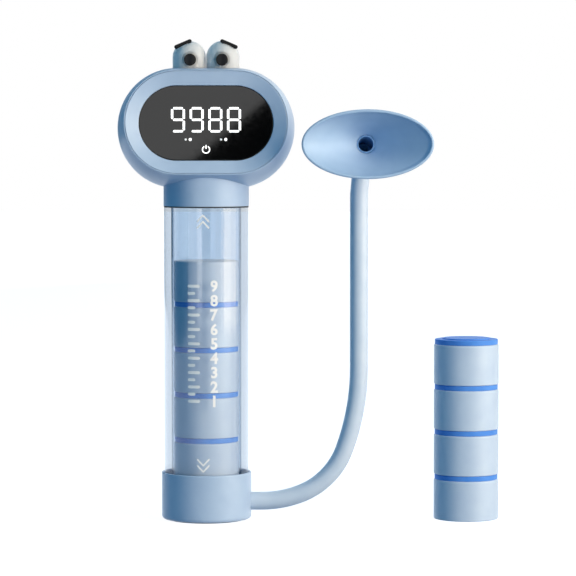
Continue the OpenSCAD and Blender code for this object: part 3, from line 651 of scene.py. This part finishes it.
def make_base():
    pad_z, floor_z = BASE_LOW + PAD_SUNK, BASE_LOW + BASE_FLOOR
    outline = rounded([
        (0, pad_z, 0), (PAD_R, pad_z, 0.2), (PAD_R, BASE_LOW, 0.2), (BASE_R, BASE_LOW, 2.4),
        (BASE_R, BASE_H, 0.55), (TUBE_R + FIT, BASE_H, 0.45), (TUBE_R + FIT, LEDGE_Z, 0.1),
        (LEDGE_R, LEDGE_Z, 0.1), (LEDGE_R, GRID_Z, 0.1), (CHAMBER_R, GRID_Z, 0.2),
        (CHAMBER_R, floor_z, 0.6), (0, floor_z, 0),
    ])
    base = lathe("base_shell", outline)
    port = rod((BASE_R - 2.5, 0, HOSE_Z), (BASE_R + 2, 0, HOSE_Z), HOSE_R + 0.2)
    stub = rod((CHAMBER_R - 2, 0, HOSE_Z), (BASE_R - 2, 0, HOSE_Z), HOSE_R - 0.95)
    return cut(base, port, stub)


dress(make_base(), "base", "light_blue_plastic", BLUE_GLOSS, "base_cup")

# The bore's face is parted here, because its two ends carry different painted reflections.
COLUMN_TOP = FLOAT_LOW + FLOAT_H + 0.3
TUBE_OUTLINE = rounded([
    (BORE_R, TUBE_LOW, 0.25), (TUBE_R, TUBE_LOW, 0.4), (TUBE_R, TUBE_TOP, 0.25),
    (SPIGOT_R, TUBE_TOP, 0.15), (SPIGOT_R, SPIGOT_TOP, 0.4), (BORE_R, SPIGOT_TOP, 0.25),
    (BORE_R, COLUMN_TOP, 0),
])
tube = dress(lathe("tube_wall", TUBE_OUTLINE), "tube", "clear_plastic", CLEAR, "clear_tube")
tube.data.materials.append(BORE_LOW)
tube.data.materials.append(BORE_HIGH)
for face in tube.data.polygons:
    if math.hypot(*face.center[:2]) < (BORE_R + 0.02) * MM:
        face.material_index = 2 if face.center[2] > COLUMN_TOP * MM else 1

CUSHION_IN, CUSHION_OUT, CUSHION_LOW = 9.5, 15.5, 17.6
CUSHION_OUTLINE = rounded([
    (CUSHION_IN, CUSHION_LOW, 0.4), (CUSHION_OUT, CUSHION_LOW, 0.4),
    (CUSHION_OUT, STACK_LOW, 0.5), (CUSHION_IN, STACK_LOW, 0.5),
])
dress(lathe("soft_landing", CUSHION_OUTLINE), "base", "cushion_rubber", CUSHION, "landing_cushion")


# Weights

POCKET_R, NEST_R, NEST_H, FLOOR = 14.2, 12.0, 0.6, 3.0
SKIRT_IN, SKIRT_OUT, SKIRT_LOW = POCKET_R - 1.65, POCKET_R - FIT, 9
WEIGHT_OUTLINE = rounded([
    (0, NEST_H + 0.2, 0), (NEST_R + GAP, NEST_H + 0.2, 0.1), (NEST_R + GAP, 0, 0.15),
    (WEIGHT_R, 0, 0.5), (WEIGHT_R, WEIGHT_H, 0.85), (POCKET_R, WEIGHT_H, 0.1),
    (POCKET_R, FLOOR, 0.3), (0, FLOOR, 0),
])
CAP_OUTLINE = rounded([
    (0, WEIGHT_H, 0), (SKIRT_IN, WEIGHT_H, 0), (SKIRT_IN, SKIRT_LOW, 0),
    (SKIRT_OUT, SKIRT_LOW, 0.1), (SKIRT_OUT, WEIGHT_H, 0), (CAP_R, WEIGHT_H, 0.15),
    (CAP_R, PITCH, 0.45), (NEST_R, PITCH, 0.05), (NEST_R, PITCH + NEST_H, 0.35),
    (0, PITCH + NEST_H, 0),
])


def make_weight(kind, body, number, x, z):
    weight = lathe(f"{kind}_block_{number}", WEIGHT_OUTLINE, x=x, z=z)
    cap = lathe(f"{kind}_top_{number}", CAP_OUTLINE, x=x, z=z)
    dress(weight, body, "light_blue_plastic", WEIGHT_BLUE, f"{kind}_weight_{number}")
    dress(cap, body, "cap_blue_plastic", CAP_BLUE, f"{kind}_cap_{number}")


for number in range(1, 5):
    make_weight("stack", "stack", number, 0, STACK_LOW + (number - 1) * PITCH)
    make_weight("spare", f"spare_{number}", number, SPARE_X, (number - 1) * PITCH)

BOSS_R, BOSS_H, FLOAT_TOP = 4.05, 3.0, 2.4
ROOF = FLOAT_H - FLOAT_TOP
FLOAT_OUTLINE = rounded([
    (0, ROOF - BOSS_H, 0), (BOSS_R, ROOF - BOSS_H, 0), (BOSS_R, ROOF, 0), (POCKET_R, ROOF, 0.3),
    (POCKET_R, 0, 0.3), (WEIGHT_R, 0, 0.4), (WEIGHT_R, FLOAT_H, 0.85), (0, FLOAT_H, 0),
])
float_cup = lathe("float_cup", FLOAT_OUTLINE, z=FLOAT_LOW)
dress(float_cup, "stack", "light_blue_plastic", WEIGHT_BLUE, "float_body")


# Head shells and face

# The back curve is a superellipse of this power, and the front curve would close at this depth.
HEAD_POWER, FRONT_REACH = 2.3, 44.0
CREST_R, CREST_W, SHELF_R, BEZEL_BACK_R = 26.1, HEAD_FRONT - 0.25, 24.8, 24.35
LENS_LIP = 1.8
# The screws lie on the circles of the head's two round ends, at this angle from its long axis.
SCREW_R, SCREW_ANGLE, WELL_R, WELL_FLOOR_W = 24.85, 32.0, 2.45, -12.5
SLOT_WIDE, SLOT_TALL, SLOT_DEEP, SLOT_EDGE, SLOT_V, SLOT_W = 9.3, 3.5, 8, 1.2, -9.4, -26


def back_curve(r, reach, steps):
    """From the middle of the back out to the widest ring, at depth 0."""
    turns = [math.radians(90 * k / steps) for k in range(steps + 1)]
    share = 2 / HEAD_POWER
    return [(r * math.sin(a) ** share, -reach * max(math.cos(a), 0) ** share) for a in turns]


def back_radius(w):
    """The back curve's radius at a depth w, which is 0 or less."""
    return HEAD_R * (1 - (-w / HEAD_BACK) ** HEAD_POWER) ** (1 / HEAD_POWER)


def front_curve(r, low, high, steps=16):
    levels = [low + (high - low) * k / steps for k in range(steps + 1)]
    return [(r * math.sqrt(1 - (w / FRONT_REACH) ** 2), w) for w in levels]


def neck_cutter():
    return rod((0, 0, TUBE_TOP), (0, 0, NECK_BACK_Z + 0.3), NECK_R + FIT)


def head_point(u, v, w):
    return HEAD_SPACE @ Vector((u, v, w))


def make_front_shell():
    """The front half: the outer curve, a crest round the bezel, the inside, and the seam's lip."""
    seam = SEAM_W + 0.12
    outer = [(back_radius(w), w) for w in (seam + 0.4, -6.0, -4.0, -2.0)]
    outer += front_curve(HEAD_R, 0, HEAD_FRONT - 2.2)
    crest = rounded([
        (*outer[-1], 0), (CREST_R, CREST_W, 0.5), (BEZEL_R + 0.1, CREST_W, 0.12),
        (BEZEL_R + 0.1, POCKET_W, 0.1), (SHELF_R, POCKET_W, 0),
    ])
    inner = front_curve(HEAD_R - WALL, 0, POCKET_W)[::-1]
    edge = [(back_radius(seam) - WALL, seam), (back_radius(seam) - 0.35, seam)]
    return cut(head_loft("head_front", outer + crest[1:-1] + inner + edge), neck_cutter())


def make_rear_shell():
    """The rear half, with wells for four screws and a slot for the charge socket."""
    outer = [p for p in back_curve(HEAD_R, HEAD_BACK, 48) if p[1] < SEAM_W - 0.6]
    seam_r = back_radius(SEAM_W)
    rim = [
        (seam_r - 0.05, SEAM_W - 0.4), (seam_r - 0.35, SEAM_W - 0.05),
        (seam_r - WALL, SEAM_W - 0.05),
    ]
    inner = back_curve(HEAD_R - WALL, HEAD_BACK - WALL, 40)
    inner = [p for p in inner if p[1] < SEAM_W - 0.3][::-1]
    shell = head_loft("head_rear", outer + rim + inner)
    screw = math.radians(SCREW_ANGLE)
    wells = []
    for across, up in ((1, 1), (1, -1), (-1, 1), (-1, -1)):
        u = across * (HEAD_FLAT / 2 + SCREW_R * math.cos(screw))
        v = up * SCREW_R * math.sin(screw)
        wells.append(rod(head_point(u, v, -HEAD_BACK - 2), head_point(u, v, WELL_FLOOR_W), WELL_R))
    return cut(shell, neck_cutter(), charge_slot(), *wells)


def charge_slot():
    """A block with rounded long edges, to cut the charge socket's opening with."""
    u, v = SLOT_WIDE / 2, SLOT_TALL / 2
    corners = rounded([(s * u, t * v, SLOT_EDGE) for s, t in ((-1, -1), (1, -1), (1, 1), (-1, 1))])
    place = HEAD_SPACE @ Matrix.Translation((0, SLOT_V, SLOT_W))
    return finished("slot", plates([corners], -SLOT_DEEP / 2, SLOT_DEEP / 2), place)


BEZEL_OUTLINE = rounded([
    (WINDOW_R + 0.1, LENS_LIP_W, 0), (WINDOW_R + 0.1, LENS_W + 0.25, 0.3),
    (BEZEL_R - FIT, HEAD_FRONT - 0.2, 0.25), (BEZEL_R - FIT, POCKET_W, 0.1),
    (BEZEL_BACK_R, POCKET_W, 0), (BEZEL_BACK_R, LENS_LIP_W, 0),
])
LENS_OUTLINE = rounded([
    (0, LENS_BACK_W, 0), (WINDOW_R + LENS_LIP, LENS_BACK_W, 0.1),
    (WINDOW_R + LENS_LIP, LENS_LIP_W, 0), (WINDOW_R, LENS_LIP_W, 0),
    (WINDOW_R, LENS_W, 0.35), (0, LENS_W, 0),
])

dress(make_front_shell(), "head", "light_blue_plastic", BLUE_GLOSS, "front_shell")
dress(make_rear_shell(), "head", "light_blue_plastic", BLUE_GLOSS, "rear_shell")
dress(head_loft("face_ring", BEZEL_OUTLINE), "head", "light_blue_plastic", BLUE_GLOSS, "face_bezel")
dress(head_loft("lens_plate", LENS_OUTLINE), "head", "lens_black", LENS, "display_lens")


# Lit marks, printed on the lens's front

INK_LOW, INK_HIGH = 0.02, 0.05
DIGIT_W, DIGIT_H, DIGIT_PITCH, STROKE, DIGIT_V = 6.9, 12.6, 9.2, 1.15, 1.6
DIGITS = ("abcdfg", "abcdfg", "abcdefg", "abcdefg")
DOT_V, LIT_DOT_R, DIM_DOT_R = -8.2, 0.75, 0.55
POWER_V, POWER_R, POWER_STROKE = -13.2, 1.75, 0.55


def ink(name, loops, material):
    """Flat marks from closed outlines, as thin plates just proud of the lens."""
    marks = finished(name, plates(loops, LENS_W - INK_LOW, LENS_W + INK_HIGH), HEAD_SPACE)
    dress(marks, "head", "lens_black", material)


def capsule(x0, y0, x1, y1, width, steps=8):
    """A straight stroke with round ends."""
    a = math.atan2(y1 - y0, x1 - x0)
    loop = []
    for cx, cy, start in ((x1, y1, a - math.pi / 2), (x0, y0, a + math.pi / 2)):
        for k in range(steps + 1):
            t = start + math.pi * k / steps
            loop.append((cx + width / 2 * math.cos(t), cy + width / 2 * math.sin(t)))
    return loop


def digit(left, segments):
    """Seven strokes: a top, b and c right, d bottom, e and f left, g middle."""
    half, inset = STROKE / 2, STROKE * 0.85
    x0, x1 = left + half, left + DIGIT_W - half
    top, mid, low = DIGIT_V + DIGIT_H / 2 - half, DIGIT_V, DIGIT_V - DIGIT_H / 2 + half
    strokes = {
        "a": (x0 + inset, top, x1 - inset, top), "d": (x0 + inset, low, x1 - inset, low),
        "g": (x0 + inset, mid, x1 - inset, mid), "b": (x1, mid + inset, x1, top - inset),
        "c": (x1, low + inset, x1, mid - inset), "f": (x0, mid + inset, x0, top - inset),
        "e": (x0, low + inset, x0, mid - inset),
    }
    return [capsule(*strokes[s], STROKE) for s in segments]


def arc(x, y, r, turns):
    return [(x + r * math.cos(t), y + r * math.sin(t)) for t in turns]


def circle(x, y, r, steps=24):
    return arc(x, y, r, [math.tau * k / steps for k in range(steps)])


def arc_band(x, y, r, width, start, end, steps=28):
    """A part of a ring, between two angles in degrees."""
    turns = [math.radians(start + (end - start) * k / steps) for k in range(steps + 1)]
    return arc(x, y, r + width / 2, turns) + arc(x, y, r - width / 2, turns[::-1])


left = -DIGIT_PITCH * (len(DIGITS) - 1) / 2 - DIGIT_W / 2
strokes = []
for place, segments in enumerate(DIGITS):
    strokes += digit(left + place * DIGIT_PITCH, segments)
ink("lit_digits", strokes, LIT)
ink("lit_dots", [circle(u, DOT_V, LIT_DOT_R) for u in (-7.75, 9.7)], LIT)
ink("dim_dots", [circle(u, DOT_V, DIM_DOT_R) for u in (-10.0, 7.4)], DIM)
ink("power_mark", [
    arc_band(0, POWER_V, POWER_R, POWER_STROKE, 120, 420),
    capsule(0, POWER_V + 0.5, 0, POWER_V + 2.1, 0.5),
], LIT)


# Eyes and brows

RING_R, PUPIL_R, PUPIL_DROP, PUPIL_TOE = 4.0, 3.0, 1.3, 0.45
RING_PROUD, RING_EDGE, PUPIL_PROUD, PUPIL_EDGE = 0.2, 0.12, 0.8, 0.25
BROW_R, BROW_LEN, BROW_SLOPE = 1.0, 9.3, 23.0
BROW_X, BROW_Y, BROW_Z = 11.4, -7.8, 237.5


def make_eye(side, mark):
    edge = 0.3
    outline = [(0, EYE_LOW), (EYE_R - edge, EYE_LOW), (EYE_R, EYE_LOW + edge)]
    outline.append((EYE_R, (EYE_LOW + EYE_Z) / 2))
    outline += arc(0, EYE_Z, EYE_R, [math.radians(3 * k) for k in range(31)])
    return lathe("eye_" + mark, outline, x=side * EYE_X, y=EYE_Y, sides=96)


def patch(name, side, radius, proud, edge, sunk=0.4):
    """A round plate that follows the front of an eye: a ball above its middle, a wall below."""
    steps, sides = 12, 48
    rings = [(radius * k / steps, proud) for k in range(steps)]
    rings += arc(radius - edge, proud - edge, edge, [math.radians(a) for a in (90, 60, 30, 0)])
    rings.append((radius, -sunk))
    cx, cz = side * (EYE_X - PUPIL_TOE), EYE_Z - PUPIL_DROP
    made = []
    for r, height in rings:
        ring = []
        for x, z in circle(cx, cz, r, sides):
            dx, dz = x - side * EYE_X, max(z - EYE_Z, 0)
            ring.append((x, EYE_Y - math.sqrt((EYE_R + height) ** 2 - dx * dx - dz * dz), z))
        made.append(ring)
    return loft(name, made, closed=False)


def make_brow(side, mark):
    """A round bar, high at its inner end."""
    slope = math.radians(BROW_SLOPE)
    reach = BROW_LEN / 2
    out = Vector((side * math.cos(slope), 0, -math.sin(slope)))
    middle = Vector((side * BROW_X, BROW_Y, BROW_Z))
    turns = [math.radians(15 * k) for k in range(7)]
    outline = [(BROW_R * (1 - math.cos(a)), BROW_R * math.sin(a)) for a in turns]
    outline += [(BROW_LEN - d, r) for d, r in outline[::-1]]
    ends = [middle - out * reach, middle + out * reach]
    return sweep("brow_bar_" + mark[0], ends, (0, 1, 0), outline, sides=24)


# The CAD's pair of eyes is one solid, which the left eye replaces for both.
for side, mark in ((-1, "left"), (1, "right")):
    eye = make_eye(side, mark)
    dress(eye, "head", "eye_white", WHITE, *(["eye_pair"] if side < 0 else []))
    ring = patch("eye_ring_" + mark, side, RING_R, RING_PROUD, RING_EDGE)
    dress(ring, "head", "eye_white", WHITE)
    pupil = patch("pupil_disc_" + mark, side, PUPIL_R, PUPIL_PROUD, PUPIL_EDGE)
    dress(pupil, "head", "mark_black", BLACK, "pupil_" + mark)
    dress(make_brow(side, mark), "head", "mark_black", BLACK, "brow_" + mark)


# White print on the tube: a plain scale from 1 to 9, and arrows that point up and down

PRINT_PROUD = 0.04
SCALE_LOW, SCALE_HIGH, LEVELS = 61.0, 118.0, 9
TICK_LEFT, TICK_LONG, TICK_SHORT, TICK_W = -9.5, 6.4, 4.0, 1.5
NUMBER_X, NUMBER_H, BOLDER = 3.9, 5.8, 0.035
ARROW_W, ARROW_RISE, ARROW_STROKE, ARROW_X, ARROW_GAP = 5.6, 3.0, 0.8, -1.6, 3.1
ARROWS_UP_Z, ARROWS_DOWN_Z = 151.4, 30.6
# Width of the strips that follow the tube's curve
PRINT_STEP = 0.8


def print_on_tube(name, bm):
    """Bends flat marks round the front of the tube. They are drawn in x and y, and proud in z."""
    reach = math.ceil(max(abs(v.co.x) for v in bm.verts) / PRINT_STEP)
    for k in range(-reach, reach + 1):
        geometry = bm.verts[:] + bm.edges[:] + bm.faces[:]
        place = (k * PRINT_STEP, 0, 0)
        bmesh.ops.bisect_plane(bm, geom=geometry, plane_co=place, plane_no=(1, 0, 0))
    for v in bm.verts:
        a, r = v.co.x / TUBE_R, TUBE_R + v.co.z
        v.co = Vector((r * math.sin(a), -r * math.cos(a), v.co.y))
    dress(finished(name, bm), "tube", "clear_plastic", PRINT)


def print_strokes(name, loops):
    print_on_tube(name, plates(loops, -INK_LOW, PRINT_PROUD))


def print_number(text, x, z, height):
    """A printed number with its middle at (x, z)."""
    curve = bpy.data.curves.new("numeral", "FONT")
    curve.body, curve.align_x, curve.resolution_u, curve.offset = text, "CENTER", 4, BOLDER
    letter = bpy.data.objects.new("numeral", curve)
    bpy.context.scene.collection.objects.link(letter)
    bm = bmesh.new()
    bm.from_mesh(evaluated_mesh(letter))
    bpy.data.objects.remove(letter)
    low, high = (f(v.co.y for v in bm.verts) for f in (min, max))
    left, right = (f(v.co.x for v in bm.verts) for f in (min, max))
    scale = height / (high - low)
    for v in bm.verts:
        across, up = v.co.x - (left + right) / 2, v.co.y - (low + high) / 2
        v.co = Vector((x + across * scale, z + up * scale, -INK_LOW))
    made = bmesh.ops.extrude_face_region(bm, geom=bm.faces[:])["geom"]
    for v in (g for g in made if isinstance(g, bmesh.types.BMVert)):
        v.co.z = PRINT_PROUD
    print_on_tube("scale_number_" + text, bm)


def print_arrows(name, z, way):
    """Two chevrons, one below the other, that point up with way 1 and down with way -1."""
    loops = []
    for middle in (z, z - ARROW_GAP):
        tip, foot = (middle + s * way * ARROW_RISE / 2 for s in (1, -1))
        for x in (ARROW_X - ARROW_W / 2, ARROW_X + ARROW_W / 2):
            loops.append(capsule(x, foot, ARROW_X, tip, ARROW_STROKE))
    print_strokes(name, loops)


level_gap = (SCALE_HIGH - SCALE_LOW) / (LEVELS - 1)
ticks = []
for level in range(2 * LEVELS - 1):
    z = SCALE_LOW + level * level_gap / 2
    reach = TICK_SHORT if level % 2 else TICK_LONG
    ticks.append(capsule(TICK_LEFT + TICK_W / 2, z, TICK_LEFT + reach - TICK_W / 2, z, TICK_W))
print_strokes("scale_ticks", ticks)
for level in range(LEVELS):
    print_number(str(level + 1), NUMBER_X, SCALE_LOW + level * level_gap, NUMBER_H)
print_arrows("arrows_up", ARROWS_UP_Z, 1)
print_arrows("arrows_down", ARROWS_DOWN_Z, -1)


# Stage, in metres: a floor and a world that look white to the camera, and soft studio light

FLOOR_HALF, FLOOR_GLOW = 6.0, 0.945
FILL, FILL_COLOUR = 0.39, (0.07, 0.6, 0.96, 1)
WHITE_LIGHT = (1, 1, 1, 1)


def see_white(tree, plain, white, target):
    """Camera, mirror and see-through rays meet white; other rays meet the plain shader."""
    path = tree.nodes.new("ShaderNodeLightPath").outputs
    mix = tree.nodes.new("ShaderNodeMixShader")
    seen = largest(tree, path["Is Camera Ray"], path["Is Glossy Ray"], path["Is Transmission Ray"])
    tree.links.new(seen, mix.inputs[0])
    tree.links.new(plain, mix.inputs[1])
    tree.links.new(white, mix.inputs[2])
    tree.links.new(mix.outputs[0], target)


def panel(name, corners, material):
    """A flat piece of the stage."""
    mesh = bpy.data.meshes.new(name)
    mesh.from_pydata(corners, [], [list(range(len(corners)))])
    obj = bpy.data.objects.new(name, mesh)
    bpy.context.scene.collection.objects.link(obj)
    mesh.materials.append(material)
    return obj


def make_floor():
    """A glow and the floor's own lit colour, which add up to white where no shadow falls."""
    finish = Finish("floor")
    finish.mottle(400.0, "#7A98B2", "#809DB6")
    finish.set(roughness=0.8)
    lit = finish.shader.outputs[0]
    white = finish.tree.nodes.new("ShaderNodeEmission")
    white.inputs["Strength"].default_value = FLOOR_GLOW
    both = finish.tree.nodes.new("ShaderNodeAddShader")
    finish.link(lit, both.inputs[0])
    finish.link(white.outputs[0], both.inputs[1])
    see_white(finish.tree, lit, both.outputs[0], finish.output.inputs["Surface"])
    ends = ((-1, -1), (1, -1), (1, 1), (-1, 1))
    corners = [(x * FLOOR_HALF, y * FLOOR_HALF, 0) for x, y in ends]
    floor = panel("floor", corners, finish.material)
    return floor


def make_world():
    world = bpy.data.worlds.new("studio")
    bpy.context.scene.world = world
    world.use_nodes = True
    tree = world.node_tree
    fill = tree.nodes["Background"]
    fill.inputs["Color"].default_value = FILL_COLOUR
    fill.inputs["Strength"].default_value = FILL
    white = tree.nodes.new("ShaderNodeBackground")
    white.inputs["Color"].default_value = WHITE_LIGHT
    white.inputs["Strength"].default_value = 1.0
    see_white(tree, fill.outputs[0], white.outputs[0], tree.nodes["World Output"].inputs["Surface"])


def card(name, corners, colour, power=1.0):
    """A studio card that only mirrors see, for what a gloss reflects."""
    finish = Finish(name)
    glow = finish.tree.nodes.new("ShaderNodeEmission")
    glow.inputs["Color"].default_value = colour
    glow.inputs["Strength"].default_value = power
    finish.link(glow.outputs[0], finish.output.inputs["Surface"])
    obj = panel(name, corners, finish.material)
    for ray in ("camera", "diffuse", "transmission", "volume_scatter", "shadow"):
        setattr(obj, "visible_" + ray, False)


def standing(foot, low, high):
    """The corners of an upright card from the two ends of its foot."""
    (x0, y0), (x1, y1) = foot
    return [(x0, y0, low), (x1, y1, low), (x1, y1, high), (x0, y0, high)]


def lamp(name, place, aim, wide, tall, power, colour):
    """An area lamp, which mirrors don't see."""
    data = bpy.data.lights.new(name, "AREA")
    data.shape, data.size, data.size_y = "RECTANGLE", wide, tall
    data.energy, data.color = power, colour
    obj = bpy.data.objects.new(name, data)
    obj.location = place
    obj.rotation_euler = (Vector(aim) - Vector(place)).to_track_quat("-Z", "Y").to_euler()
    obj.visible_glossy = False
    bpy.context.scene.collection.objects.link(obj)
    return obj


def spare_from(source, obj):
    """Keeps a lamp's light off one object."""
    spared = bpy.data.collections.new("spared")
    spared.objects.link(obj)
    spared.collection_objects[0].light_linking.link_state = "EXCLUDE"
    source.light_linking.receiver_collection = spared


floor = make_floor()
make_world()
AIM = (0.03, 0, 0.11)
lamp("key", (1.12, -0.89, 0.5), AIM, 0.8, 1.0, 27, (1.0, 0.8, 0.59))
back = lamp("back", (-0.45, 1.25, 0.5), AIM, 0.9, 1.0, 20, (1.0, 0.88, 0.77))
spare_from(back, floor)

# What the gloss mirrors: dark screens at the left, behind and in front, a bright strip at the front
# left, and bright cards at the right
SHADE, FRONT_SHADE, WARM_LIGHT = (0.03, 0.11, 0.17, 1), (0.1, 0.16, 0.22, 1), (1, 0.88, 0.72, 1)
card("screen_left", standing([(-1.2, -1.0), (-1.2, 1.2)], -0.3, 1.4), SHADE)
card("screen_back", standing([(-1.2, 1.2), (-0.1, 2.4)], -0.3, 1.4), SHADE)
card("screen_front", standing([(-1.2, -2.9), (0.6, -2.9)], -0.6, 0.55), FRONT_SHADE)
card("strip", standing([(-0.7, -1.45), (-0.34, -1.57)], -0.3, 1.0), WHITE_LIGHT, 2.4)
card("sheen", standing([(1.12, -0.98), (1.5, -0.05)], -0.3, 1.3), WARM_LIGHT, 4.4)
card("softbox_far", standing([(1.6, -0.7), (1.5, 0.6)], -0.3, 1.2), WHITE_LIGHT, 1.3)
card("softbox_near", standing([(0.65, -1.4), (1.0, -1.25)], -0.3, 1.2), WHITE_LIGHT, 1.1)

# The lens mirrors what stands behind and above the camera: pale at its upper left, black at its
# lower right, and parted along a slope.
MIRROR_Y, MIRROR_LEFT, MIRROR_RIGHT, MIRROR_FOOT, MIRROR_TOP = -3.0, -0.55, 0.8, 0.6, 1.82
SLOPE = [(MIRROR_LEFT, MIRROR_Y, 0.613), (MIRROR_RIGHT, MIRROR_Y, 1.76)]
feet = [(MIRROR_RIGHT, MIRROR_Y, MIRROR_FOOT), (MIRROR_LEFT, MIRROR_Y, MIRROR_FOOT)]
card("lens_dark", SLOPE + feet, (0.004, 0.004, 0.005, 1))
card("lens_pale", SLOPE + [(MIRROR_LEFT, MIRROR_Y, MIRROR_TOP)], WHITE_LIGHT, 1.6)

bpy.context.scene.view_settings.view_transform = "Standard"
